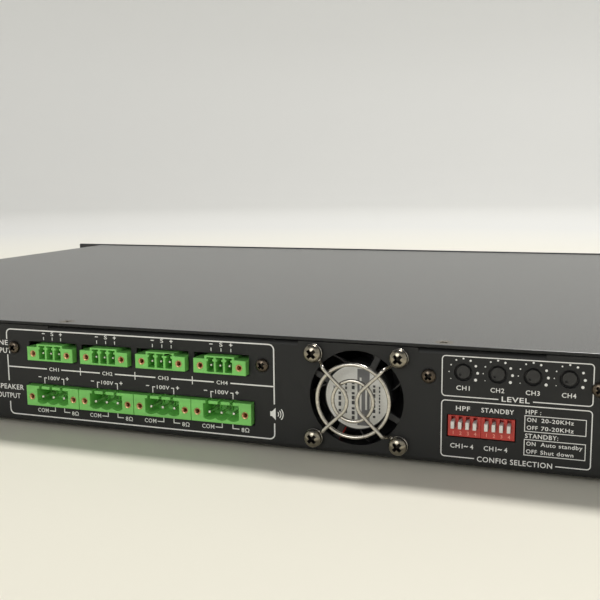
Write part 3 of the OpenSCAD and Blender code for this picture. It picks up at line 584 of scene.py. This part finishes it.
def cap_height():
    """Height of the built-in font's capital letters at size 1."""
    curve = bpy.data.curves.new("measure", "FONT")
    curve.body = "H"
    holder = bpy.data.objects.new("measure", curve)
    bpy.context.scene.collection.objects.link(holder)
    bpy.context.view_layer.update()
    tall = holder.dimensions.y
    bpy.data.objects.remove(holder)
    return tall


CAP_HEIGHT = cap_height()
FRAME_LINE = 0.5
THIN_LINE = 0.35


def channel_x(i):
    return CHANNEL_1_X + i * CHANNEL_PITCH


def level_x(i):
    return LEVEL_1_X + i * LEVEL_PITCH


def print_connectors(bm):
    """Legend round the headers: a frame, a line between the two rows, and a name for each row and pin."""
    left, right, top, bottom, r = -152.2, -31.8, 18.0, -18.5, 2.0
    icon_top, icon_bottom = -4.9, -12.3
    middle_z = 1.95
    add_stroke(bm, [(left, 13.6)] + rounded_corner(left + r, top - r, r, 90)[::-1]
               + rounded_corner(right - r, top - r, r, 0)[::-1] + [(right, icon_top)], FRAME_LINE)
    add_stroke(bm, [(right, icon_bottom)] + rounded_corner(right - r, bottom + r, r, 270)[::-1]
               + rounded_corner(left + r, bottom + r, r, 180)[::-1] + [(left, -13.2)], FRAME_LINE)
    add_stroke(bm, [(left, 7.0), (left, -4.2)], FRAME_LINE)
    edges = [left]
    for i in CHANNELS:
        name_x = channel_x(i) - 0.25
        edges += [name_x - 3.5, name_x + 3.5]
        add_text(bm, f"CH{i + 1}", name_x, 1.22, 1.45, 4.7)
    edges.append(right)
    for start, end in zip(edges[::2], edges[1::2]):
        add_stroke(bm, [(start, middle_z), (end, middle_z)], FRAME_LINE)
    for i in CHANNELS[:3]:
        x = channel_x(i) + 12.45
        for side in (-1, 1):
            near = middle_z + side * FRAME_LINE / 2
            add_stroke(bm, [(x, near), (x, middle_z + side * 1.6)], THIN_LINE)
    for i in CHANNELS:
        print_channel(bm, channel_x(i))
    add_text(bm, "LINE", -151.8, 11.0, 2.1, 7.6, 1)
    add_text(bm, "INPUT", -150.2, 7.6, 2.1, 9.6, 1)
    add_text(bm, "SPEAKER", -144.95, -7.9, 2.1, 13.4, 1)
    add_text(bm, "OUTPUT", -146.9, -11.7, 2.1, 11.6, 1)
    print_speaker_icon(bm, right, -8.6)


def print_channel(bm, x):
    """Pin names over a line header and a speaker header."""
    for offset, sign in ((-4.6, "-"), (-0.4, "S"), (3.7, "+")):
        if sign == "S":
            add_text(bm, sign, x + offset, 16.1, 1.5, 1.3)
        else:
            add_sign(bm, x + offset, 16.85, sign)
        add_stroke(bm, [(x + offset, 15.4), (x + offset, 14.1)], THIN_LINE)
    add_text(bm, "100V", x - 0.45, -2.6, 1.5, 5.6)
    for offset, sign in ((-7.4, "-"), (5.9, "+")):
        add_sign(bm, x + offset, -1.6, sign)
    add_stroke(bm, [(x - 4.0, -1.9), (x - 5.1, -1.9), (x - 5.1, -4.3)], THIN_LINE)
    add_stroke(bm, [(x + 3.1, -1.9), (x + 4.2, -1.9), (x + 4.2, -4.3)], THIN_LINE)
    add_text(bm, "COM", x - 6.6, -16.7, 1.6, 5.2)
    add_stroke(bm, [(x - 3.4, -15.9), (x - 0.6, -15.9), (x - 0.6, -14.2)], THIN_LINE)
    add_text(bm, "8Ω", x + 9.1, -16.9, 1.6, 3.2)
    add_stroke(bm, [(x + 3.9, -14.2), (x + 3.9, -15.9), (x + 6.6, -15.9)], THIN_LINE)


def add_sign(bm, x, z, sign):
    """A plus or a minus."""
    add_stroke(bm, [(x - 0.7, z), (x + 0.7, z)], THIN_LINE)
    if sign == "+":
        add_stroke(bm, [(x, z - 0.7), (x, z - THIN_LINE / 2)], THIN_LINE)
        add_stroke(bm, [(x, z + THIN_LINE / 2), (x, z + 0.7)], THIN_LINE)


def print_speaker_icon(bm, x, z):
    """A loudspeaker with three sound waves."""
    cone = ((-1.7, -0.9), (-1.0, -0.9), (0.5, -2.4), (0.5, 2.4), (-1.0, 0.9), (-1.7, 0.9))
    near = [bm.verts.new((x + px, -INK, z + pz)) for px, pz in cone]
    far = [bm.verts.new((x + px, 0, z + pz)) for px, pz in cone]
    bm.faces.new(near)
    bm.faces.new(far)
    for k in range(len(cone)):
        after = (k + 1) % len(cone)
        bm.faces.new((near[k], near[after], far[after], far[k]))
    for radius in (1.2, 2.1, 3.0):
        turns = (math.radians(-42 + 84 * k / 8) for k in range(9))
        add_stroke(bm, [(x + 0.5 + radius * math.cos(a), z + radius * math.sin(a)) for a in turns], THIN_LINE)


def print_open_frame(bm, top, bottom, gap):
    """A rounded frame round the controls, whose bottom line leaves a gap for its name."""
    left, right, r = BOX_LEFT, BOX_RIGHT, 1.2
    path = [(gap[1], bottom)] + rounded_corner(right - r, bottom + r, r, 270)
    path += rounded_corner(right - r, top - r, r, 0)
    path += rounded_corner(left + r, top - r, r, 90)
    path += rounded_corner(left + r, bottom + r, r, 180) + [(gap[0], bottom)]
    add_stroke(bm, path, THIN_LINE)


def print_levels(bm):
    """Frame, dots and names of the level controls."""
    print_open_frame(bm, 17.9, 3.6, (50.6, 62.1))
    add_text(bm, "LEVEL", 56.35, 3.0, 1.7, 9.3, bold=0.015)
    for i in CHANNELS:
        for k in range(9):
            turn = math.radians(210 - 30 * k)
            x = level_x(i) + LEVEL_DOTS_R * math.cos(turn)
            z = LEVEL_Z + LEVEL_DOTS_R * math.sin(turn)
            add_disc(bm, x, z, 0.16 + 0.045 * k)
        add_text(bm, f"CH{i + 1}", level_x(i), 5.95, 1.55, 4.6)


def print_options(bm):
    """Frame, names and small tables of the option switches."""
    print_open_frame(bm, 2.0, -18.3, (42.8, 70.0))
    add_text(bm, "CONFIG SELECTION", 56.4, -19.2, 1.8, 25.2)
    add_text(bm, "HPF", 38.65, -1.4, 1.6, 4.9)
    add_text(bm, "STANDBY", 50.45, -1.4, 1.6, 11.0)
    for x in (38.45, 50.05):
        add_text(bm, "CH1", x - 4.0, -15.0, 1.6, 4.3, 0)
        swung_dash = ((0.75, -14.35), (1.15, -14.1), (1.75, -14.3), (2.15, -14.05))
        add_stroke(bm, [(x + dx, z) for dx, z in swung_dash], THIN_LINE)
        add_text(bm, "4", x + 4.0, -15.0, 1.6, None, 1)
    tables = (
        (-1.3, "HPF :", (("ON", "20-20KHz", 10.5), ("OFF", "70-20KHz", 10.5))),
        (-9.7, "STANDBY:", (("ON", "Auto standby", 13.5), ("OFF", "Shut down", 10.7))),
    )
    left, right, row_h = 59.6, 79.4, 2.75
    for top, title, rows in tables:
        bottom = top - 2 * row_h
        add_text(bm, title, left + 0.2, top + 0.6, 1.5, None, 0)
        add_stroke(bm, [(left, bottom), (right, bottom), (right, top), (left, top)], 0.26, True)
        for k, (state, meaning, wide) in enumerate(rows):
            z = top - row_h * (k + 1) + 0.7
            add_text(bm, state, left + 0.7, z, 1.35, None, 0)
            add_text(bm, meaning, left + 5.4, z, 1.35, wide, 0)


def print_rear_panel():
    bm = bmesh.new()
    print_connectors(bm)
    print_levels(bm)
    print_options(bm)
    piece = make_object("rear_panel_printing", bm, TO_REAR)
    return finish_piece(piece, "case", PANEL_INK, "lever_white")


# ---- Screws ----

def screw_head(name, spots, head_d, head_h, material_slot, node, to_frame):
    """Domed cross-recess heads with short shanks at (x, y, z) spots, standing out towards -y."""
    bm = bmesh.new()
    cutter = bmesh.new()
    r = head_d / 2
    dome = [(0, -head_h)]
    for k in range(1, 9):
        turn = math.radians(90 * k / 8)
        dome.append((r * math.sin(turn), -head_h * (0.28 + 0.72 * math.cos(turn))))
    profile = dome + [(r, -0.12), (r - 0.12, 0), (r * 0.42, 0), (r * 0.42, 1.0), (0, 1.0)]
    for spot in spots:
        place = Matrix.Translation(spot)
        add_lathe(bm, profile, place, 40)
        add_cross_taper(cutter, head_d * 0.62, head_d * 0.19, -head_h - 0.1, -head_h * 0.08, place)
    piece = make_object(name, bm)
    recess = make_object("cutter", cutter)
    for part in (piece, recess):
        part.data.materials.append(MATERIALS[material_slot])
        # Painted shade: the faces that the cross recess leaves take the dark recess colour.
        part.data.materials.append(PAINTED_RECESS_SHADE)
    for face in recess.data.polygons:
        face.material_index = 1
    cut(piece, recess)
    shade(piece.data, 30)
    round_edges(piece, 0.07, 40)
    piece.data.transform(to_frame)
    return finish_piece(piece, "case", MATERIALS[material_slot], material_slot, node)


def fan_screw_spots(y):
    half = FAN_SCREW_SPAN / 2
    return [(x, y, z) for x in (-half, half) for z in (-half, half)]


def panel_screw_spots():
    """The boards' screws in the panel itself, and the mains inlet's on its flange."""
    inlet_x = (FAN.x - middle("mains_inlet").x) / MM
    half = INLET_SCREW_SPAN // 2
    on_panel = [(x, 0, z) for x, z in BOARD_SCREWS]
    return on_panel + [(inlet_x + side * half, -INLET_FLANGE, 0) for side in (-1, 1)]


# ---- Fan ----

def fan_guard():
    """Two rings behind two bent arms, whose ends run down to an eye under each screw head."""
    bm = bmesh.new()
    wire_r = GUARD_WIRE / 2
    arm_y = wire_r - GUARD_OUT
    for diameter in GUARD_RINGS:
        profile = circle_points(wire_r, 16, (diameter / 2, arm_y + 1.7 * wire_r))
        add_ring(bm, profile, steps=96)
    for x, y, z in fan_screw_spots(-wire_r):
        add_ring(bm, circle_points(wire_r, 14, (GUARD_EYE / 2, 0)), Matrix.Translation((x, y, z)), 40)
    for side in (-1, 1):
        add_tube(bm, smooth_path(guard_arm(side, arm_y), 5), wire_r, 16)
    piece = make_object("fan_guard_wire", bm, TO_REAR, 60)
    return finish_piece(piece, "case", MATERIALS["guard_wire"], "guard_wire", "fan_guard")


def guard_arm(side, arm_y):
    """One arm from eye to eye; it is bent round near the fan's middle."""
    apex, bend_r = 1.85, 6.5
    knee_x, knee_z = 11.2, 12.1
    half = FAN_SCREW_SPAN / 2
    foot = half - 4.4 * math.cos(math.radians(45))
    eye = half - GUARD_EYE / 2 * math.cos(math.radians(45))
    wire_r = GUARD_WIRE / 2
    upper = []
    for a in (0, 15, 30, 45):
        turn = math.radians(a)
        upper.append((apex + bend_r * (1 - math.cos(turn)), arm_y, bend_r * math.sin(turn)))
    upper += [(knee_x - 1.4, arm_y, knee_z - 1.6), (knee_x, arm_y + 0.5, knee_z),
              (foot - 0.2, -wire_r - 1, foot - 0.2), (foot + 0.3, -wire_r, foot + 0.3), (eye, -wire_r, eye)]
    lower = [(x, y, -z) for x, y, z in upper[1:]]
    return [(side * x, y, z) for x, y, z in reversed(lower)] + [(side * x, y, z) for x, y, z in upper]


def fan_rotor():
    """Hub cup with swept, twisted blades that thin towards their trailing edges."""
    strut_t, clearance = 2.0, 0.6
    front_y = SHEET + FAN_GAP + strut_t + clearance
    depth = 14.0
    bm = bmesh.new()
    outer = [(FAN_HUB_R - 1.2, front_y), (FAN_HUB_R - 0.25, front_y), (FAN_HUB_R, front_y + 0.25),
             (FAN_HUB_R, front_y + depth - 0.8), (FAN_HUB_R - 0.8, front_y + depth), (0, front_y + depth)]
    inner = [(0, front_y + depth - 1), (FAN_HUB_R - 1.2, front_y + depth - 1), (FAN_HUB_R - 1.2, front_y)]
    add_lathe(bm, inner + outer[1:], steps=64)
    shaft_r = 1.5
    shaft = ((0, front_y), (shaft_r - 0.2, front_y), (shaft_r, front_y + 0.2),
             (shaft_r, front_y + depth - 1), (0, front_y + depth - 1))
    add_lathe(bm, shaft, steps=24)
    for k in range(BLADES):
        add_blade(bm, BLADE_START + 2 * math.pi * k / BLADES, front_y, depth)
    piece = make_object("fan_rotor_blades", bm, TO_REAR, 40)
    return finish_piece(piece, "fan_rotor", MATERIALS["fan_plastic"], "fan_plastic", "fan_rotor")


def add_blade(bm, start, front_y, depth):
    """A blade from hub to tip, whose sections turn and lean as they go out."""
    radii = [FAN_HUB_R - 0.5 + (FAN_BORE_R - 0.6 - FAN_HUB_R + 0.5) * k / 4 for k in range(5)]
    chord_steps = 8
    fronts, backs = [], []
    for j, radius in enumerate(radii):
        front, back = [], []
        for s in range(chord_steps + 1):
            t = s / chord_steps
            y = front_y + 1.2 + (depth - 2.6) * t
            sweep = BLADE_SWEEP * (j / 4) ** 1.3
            turn = start + sweep + 0.62 * t - 0.16 * math.sin(math.pi * t)
            thickness = 0.28 + 0.5 * math.sin(math.pi * min(1, 0.12 + 0.8 * t)) ** 0.7
            half = thickness / 2 / radius
            front.append(bm.verts.new((radius * math.cos(turn - half), y, radius * math.sin(turn - half))))
            back.append(bm.verts.new((radius * math.cos(turn + half), y, radius * math.sin(turn + half))))
        fronts.append(front)
        backs.append(back)
    for j in range(len(radii) - 1):
        for s in range(chord_steps):
            bm.faces.new((fronts[j][s], fronts[j][s + 1], fronts[j + 1][s + 1], fronts[j + 1][s]))
            bm.faces.new((backs[j][s], backs[j + 1][s], backs[j + 1][s + 1], backs[j][s + 1]))
        for s in (0, chord_steps):
            bm.faces.new((fronts[j][s], backs[j][s], backs[j + 1][s], fronts[j + 1][s]))
    for s in range(chord_steps):
        for j in (0, len(radii) - 1):
            bm.faces.new((fronts[j][s], fronts[j][s + 1], backs[j][s + 1], backs[j][s]))


def fan_label():
    """Round foil label with a hatched band and generic marks for its print."""
    front = LABEL_Y - LABEL_T
    bm = bmesh.new()
    edge = ((LABEL_R - 0.15, front), (LABEL_R, LABEL_Y - LABEL_T / 2), (LABEL_R, LABEL_Y))
    disc = ((0, front), *edge, (0, LABEL_Y))
    add_lathe(bm, disc, steps=72)
    label = make_object("fan_label_foil", bm, TO_REAR)
    finish_piece(label, "case", MATERIALS["label_foil"], "label_foil", "fan_label")
    place = TO_REAR @ Matrix.Translation((0, front * MM, 0))
    bm = bmesh.new()
    add_stroke(bm, [(2.4, -10.6), (2.4, 10.6)], 4.6)
    band = make_object("fan_label_band", bm, place)
    finish_piece(band, "case", LABEL_GREY, "fan_plastic")
    bm = bmesh.new()
    add_label_marks(bm)
    marks = make_object("fan_label_marks", bm, place)
    finish_piece(marks, "case", LABEL_INK, "fan_plastic")
    bm = bmesh.new()
    for x, low, high in ((1.3, -7.0, 7.4), (3.4, -4.6, 5.2)):
        add_stroke(bm, [(x, low), (x, high)], 0.7)
    lines = make_object("fan_label_lines", bm, place @ Matrix.Translation((0, -INK * MM, 0)))
    return finish_piece(lines, "case", MATERIALS["label_foil"], "label_foil")


def add_label_marks(bm):
    """Upright rows of short plain dashes, with no letters: each at its x, with its width, ends and step."""
    rows = ((6.4, 0.9, -7.4, 7.2, 1.9), (8.4, 0.5, -5.6, 5.0, 1.3), (-1.5, 1.1, -8.6, 8.0, 1.9),
            (-4.2, 0.7, -6.4, 6.6, 1.5), (-6.6, 1.0, -6.0, 5.6, 2.2), (-8.8, 0.4, -4.4, 4.2, 1.2))
    for x, width, low, high, step in rows:
        count = int((high - low) / step)
        for k in range(count):
            z = low + k * step
            length = step * (0.72 if (k * 5 + int(x)) % 3 else 0.45)
            add_stroke(bm, [(x, z), (x, z + length)], width)


def fan_lead():
    """The red and the dark lead of the fan, which cross the bore behind the guard."""
    turn = math.radians(-117)
    across = Vector((-math.sin(turn), 0, math.cos(turn)))
    along = Vector((math.cos(turn), 0, math.sin(turn)))
    for name, shift, material in (("red", 0.8, LEAD_RED), ("dark", -0.8, MATERIALS["lead_sleeve"])):
        bm = bmesh.new()
        points = [along * reach + across * (shift + bend) + Vector((0, SHEET + 2.2 + drop, 0))
                  for reach, bend, drop in ((12.2, 0, 0.2), (14.5, 0.25, 0), (17, 0, 0), (19.4, -0.2, 0.6))]
        add_tube(bm, smooth_path(points, 5), 0.6, 12)
        piece = make_object(f"fan_lead_{name}", bm, TO_REAR, 60)
        finish_piece(piece, "case", material, "lead_sleeve")


# ---- Header details ----

def threaded_inserts():
    """Threaded brass inserts with a chamfered mouth, at both sides of every header."""
    rows = ((16.2, 2.9, 8.8), (20.0, 2.4, -9.6))
    outer, crest, root = 1.35, 0.85, 1.04
    pitch, turns, length = 0.5, 9, 7.0
    profile = [(outer, 0.06), (outer, length), (crest, length)]
    for k in range(turns, 0, -1):
        profile += [(crest, 0.3 + k * pitch), (root, 0.3 + (k - 0.5) * pitch)]
    profile += [(crest, 0.3), (outer - 0.16, 0), (outer - 0.06, 0)]
    bm = bmesh.new()
    for i in CHANNELS:
        for side in (-1, 1):
            for span, reach, z in rows:
                place = Matrix.Translation((channel_x(i) + side * span / 2, -reach, z))
                add_ring(bm, profile, place, 28)
    piece = make_object("threaded_inserts", bm, TO_REAR, 50)
    return finish_piece(piece, "case", MATERIALS["insert_copper"], "insert_copper", "header_inserts")


def pin_collars():
    """Raised green rings round the foot of every speaker pin."""
    back_y = 6.6
    profile = [(1.1, back_y + 0.1), (1.1, back_y - 0.7), (1.25, back_y - 0.9), (1.45, back_y - 0.9),
               (1.6, back_y - 0.7), (1.6, back_y + 0.1)]
    bm = bmesh.new()
    for i in CHANNELS:
        for pin in (-1, 0, 1):
            place = Matrix.Translation((channel_x(i) + pin * SPEAKER_PITCH, 0, -9.5))
            add_ring(bm, profile, place, 24)
    piece = make_object("speaker_pin_collars", bm, TO_REAR, 40)
    return finish_piece(piece, "case", MATERIALS["header_green"], "header_green")


# ---- Controls ----

def level_face(i):
    """Turning face of a level control, with a round pointer dimple and a chamfered rim."""
    y = 0.2
    bm = bmesh.new()
    r = LEVEL_FACE_R
    profile = ((0, y), (r - 0.25, y), (r, y + 0.25), (r, y + SHEET), (2, y + SHEET), (2, y + 5), (0, y + 5))
    add_lathe(bm, profile, steps=48)
    cutter = bmesh.new()
    turn = math.radians(LEVEL_POINTER)
    spot = Matrix.Translation((1.35 * math.cos(turn), y, 1.35 * math.sin(turn)))
    add_lathe(cutter, ((0, -0.3), (0.45, -0.3), (0.45, 0.8), (0, 0.8)), spot, 24)
    face = make_object(f"level_face_ch{i + 1}", bm)
    cut(face, make_object("cutter", cutter))
    shade(face.data, 30)
    face.data.transform(TO_REAR @ Matrix.Translation((level_x(i) * MM, 0, LEVEL_Z * MM)))
    return finish_piece(face, f"level_control_{i + 1}", MATERIALS["control_face"], "control_face",
                        f"level_shaft_ch{i + 1}")


def switch_numbers():
    """Small pale numerals 1 to 4 under the levers of both option switches."""
    bm = bmesh.new()
    for n in (0, 1):
        for way in range(4):
            x = SWITCH_X + (n + 0.5) * SWITCH_W + (way - 1.5) * WAY_PITCH
            add_text(bm, str(way + 1), x, -10.2, 1.2)
    place = TO_REAR @ Matrix.Translation((0, 0.3 * MM, 0))
    piece = make_object("option_switch_numbers", bm, place)
    return finish_piece(piece, "case", SWITCH_INK, "lever_white")


# ---- Putting it together ----

def carry_over_nodes():
    """Rounds the edges of every CAD node that keeps its own shape."""
    widths = {
        "chassis_tray": 0.12, "top_cover": 0.25, "front_panel": 0.4, "rubber_feet": 0.4,
        "front_panel_screws": 0.1, "fan_housing": 0.25, "line_header_pins": 0.15, "speaker_header_pins": 0.18,
        "hpf_switch": 0.12, "standby_switch": 0.12, "mains_inlet": 0.4, "inlet_pins": 0.35,
        "fuse_holder": 0.4, "fuse_cap": 0.4, "power_switch": 0.35, "power_rocker": 0.3,
        "display_board": 0.1, "amp_board": 0.1, "input_board": 0.1, "level_board": 0.1, "supply_board": 0.1,
        "heat_sink": 0.25, "power_transistors": 0.15, "filter_capacitors": 0.8, "supply_transformer": 0.6,
        "standoffs": 0.2,
    }
    for i in CHANNELS:
        widths[f"line_header_ch{i + 1}"] = 0.16
        widths[f"speaker_header_ch{i + 1}"] = 0.18
        widths[f"level_pot_ch{i + 1}"] = 0.25
        widths[f"hpf_lever_{i + 1}"] = 0.14
        widths[f"standby_lever_{i + 1}"] = 0.14
    for node, width in widths.items():
        soften(node, width, MATERIALS[SLOTS[node]])
    # Painted shade: the cover's rear-facing faces take the darker chassis paint, so that its rear edge looks
    # shaded.
    cover = bpy.data.objects["top_cover_body"]
    cover.data.materials.append(MATERIALS["chassis_paint"])
    for face in cover.data.polygons:
        face.material_index = int(face.normal.y > 0.5)
    for node in ("output_chokes", "wiring"):
        frame["nodes"][node].data.materials.clear()
        frame["nodes"][node].data.materials.append(MATERIALS[SLOTS[node]])


def lamp_lens(name, colour):
    """Tinted clear plastic with a faint swirl."""
    lens, tree, shader = new_material(name, colour, 0.12, coat=0.5)
    shader.inputs["Transmission Weight"].default_value = 0.5
    swirl = add_noise(tree, place_texture(tree), 700.0, 2.0)
    tree.links.new(add_range(tree, swirl, 0.08, 0.2), shader.inputs["Roughness"])
    return lens


def lamps():
    """Front lamps: a green and a red one for each channel, and a blue one for power."""
    groups = (
        ("signal", (0.03, 0.4, 0.06), [(lamp_x, 5.0) for lamp_x in LAMP_XS], ["front_leds"]),
        ("protect", (0.5, 0.03, 0.02), [(lamp_x, -5.0) for lamp_x in LAMP_XS], []),
        ("power", (0.04, 0.13, 0.5), [(POWER_LAMP_X, 0.0)], []),
    )
    r, sunk, back_y = LAMP_R, 0.6, 7.4
    turns = [math.radians(10 * k) for k in range(10)]
    dome = [(r * math.sin(a), r - sunk - r * math.cos(a)) for a in turns]
    profile = dome + [(r, back_y), (0, back_y)]
    for name, colour, spots, replaced in groups:
        bm = bmesh.new()
        for x, z in spots:
            add_lathe(bm, profile, Matrix.Translation((x, 0, z)), 28)
        piece = make_object(f"{name}_lamps", bm, TO_FRONT, 40)
        finish_piece(piece, "case", lamp_lens(f"{name}_lens", colour), "lamp_lens", *replaced)


def print_front_panel():
    """Plain names of the lamps and the switch."""
    bm = bmesh.new()
    for i, x in enumerate(LAMP_XS):
        add_text(bm, str(i + 1), x, 8.6, 2.0)
    add_text(bm, "SIGNAL", LAMP_XS[0] - 4.4, 4.1, 1.8, None, 1)
    add_text(bm, "PROTECT", LAMP_XS[0] - 4.4, -5.9, 1.8, None, 1)
    add_text(bm, "POWER", POWER_LAMP_X, -5.6, 1.8)
    piece = make_object("front_panel_printing", bm, TO_FRONT)
    return finish_piece(piece, "case", PANEL_INK, "lever_white")


def rocker_marks():
    """A line and a ring on the two faces of the power rocker."""
    pivot_y, valley_y, tip_y, half_h, rest = 2.2, -1.2, -2.6, 8.2, 8
    lean = math.atan2(valley_y - tip_y, half_h)
    middle_y = (valley_y + tip_y) / 2
    to_pivot = TO_FRONT @ Matrix.Translation((ROCKER_X * MM, pivot_y * MM, 0))
    at_pivot = to_pivot @ Matrix.Rotation(math.radians(rest), 4, "X")
    for name, side in (("on", 1), ("off", -1)):
        bm = bmesh.new()
        if name == "on":
            add_stroke(bm, [(0, -1.3), (0, 1.3)], 0.5)
        else:
            turns = (2 * math.pi * k / 32 for k in range(32))
            add_stroke(bm, [(1.2 * math.cos(a), 1.2 * math.sin(a)) for a in turns], 0.45, True)
        on_face = Matrix.Translation((0, (middle_y - pivot_y) * MM, side * half_h / 2 * MM))
        leaning = Matrix.Rotation(side * lean, 4, "X")
        piece = make_object(f"rocker_mark_{name}", bm, at_pivot @ on_face @ leaning)
        finish_piece(piece, "power_rocker", PANEL_INK, "lever_white")


def build():
    carry_over_nodes()
    lamps()
    print_rear_panel()
    screw_head("fan_screw_heads", fan_screw_spots(-GUARD_WIRE), FAN_SCREW_HEAD, FAN_SCREW_RISE,
               "fan_screw_steel", "fan_screws", TO_REAR)
    screw_head("rear_panel_screw_heads", panel_screw_spots(), PANEL_SCREW_HEAD, PANEL_SCREW_RISE,
               "panel_screw_steel", "rear_panel_screws", TO_REAR)
    soften("cover_screws", 0.1, MATERIALS["cover_screw_steel"])
    fan_guard()
    fan_rotor()
    fan_label()
    fan_lead()
    threaded_inserts()
    pin_collars()
    for i in CHANNELS:
        level_face(i)
    switch_numbers()
    print_front_panel()
    rocker_marks()


# ---- Camera, floor and light ----

def add_camera():
    """Camera behind the left half of the rear panel, a little above the case."""
    lens = bpy.data.cameras.new("camera")
    lens.sensor_width = 36
    lens.lens = 49.77
    across, behind, above = 78.0, 283.54, 78.95
    camera = bpy.data.objects.new("camera", lens)
    camera.location = (FAN.x - across * MM, REAR_Y + behind * MM, FAN.z + above * MM)
    camera.rotation_euler = (math.radians(81.73), math.radians(0.53), math.radians(-160.8))
    bpy.context.scene.collection.objects.link(camera)
    bpy.context.scene.camera = camera


def add_floor():
    """Pale floor that rises into a wall all round, as in a small photo booth, with painted shade that darkens
    it away from the middle.
    """
    bm = bmesh.new()
    flat_r, bend_r, wall_h, steps = 2.6, 0.9, 3.2, 64
    profile = [(0.0, 0.0), (flat_r, 0.0)]
    for k in range(1, 11):
        turn = math.radians(9 * k)
        profile.append((flat_r + bend_r * math.sin(turn), bend_r * (1 - math.cos(turn))))
    profile.append((flat_r + bend_r, wall_h))
    add_lathe(bm, [(r / MM, z / MM) for r, z in profile], UPRIGHT, steps)
    floor = make_object("floor", bm)
    paper, tree, shader = new_material("floor_paper", (0.82, 0.79, 0.68), 0.6)
    where = place_texture(tree)
    # Painted shade: the floor's colour darkens with distance from the middle, from 0.45 m to 1.3 m out.
    reach = tree.nodes.new("ShaderNodeVectorMath")
    reach.operation = "LENGTH"
    tree.links.new(where, reach.inputs[0])
    distance = add_scaled(tree, reach.outputs["Value"], 0.45, 1.3)
    tone = add_ramp(tree, distance, ((0.0, (0.84, 0.81, 0.7)), (1.0, (0.72, 0.72, 0.7))))
    tree.links.new(tone, shader.inputs["Base Color"])
    grain = add_noise(tree, where, 60.0, 4.0)
    add_bump(tree, shader, grain, 0.05, 0.0005)
    floor.data.materials.append(paper)


def add_light(name, place, target, size, power, colour):
    """A square soft light at place, which faces target."""
    lamp = bpy.data.lights.new(name, "AREA")
    lamp.size = size
    lamp.energy = power
    lamp.color = colour
    light = bpy.data.objects.new(name, lamp)
    light.location = place
    light.rotation_euler = (Vector(target) - Vector(place)).to_track_quat("-Z", "Y").to_euler()
    bpy.context.scene.collection.objects.link(light)


def add_world(strength):
    world = bpy.data.worlds.new("room")
    world.use_nodes = True
    background = world.node_tree.nodes["Background"]
    background.inputs["Color"].default_value = (0.93, 0.96, 1.04, 1)
    background.inputs["Strength"].default_value = strength
    bpy.context.scene.world = world


add_camera()
build()
add_floor()
add_light("ceiling_light", (-0.5, -1.6, 3.5), (0, 0, 0), 0.7, 120, (1.0, 0.985, 0.955))
add_light("front_light", (0.5, 2.6, 1.15), (-0.1, 0.2, 0.1), 1.0, 16, (1.0, 0.99, 0.97))
add_world(0.13)
bpy.context.scene.view_settings.view_transform = "Standard"
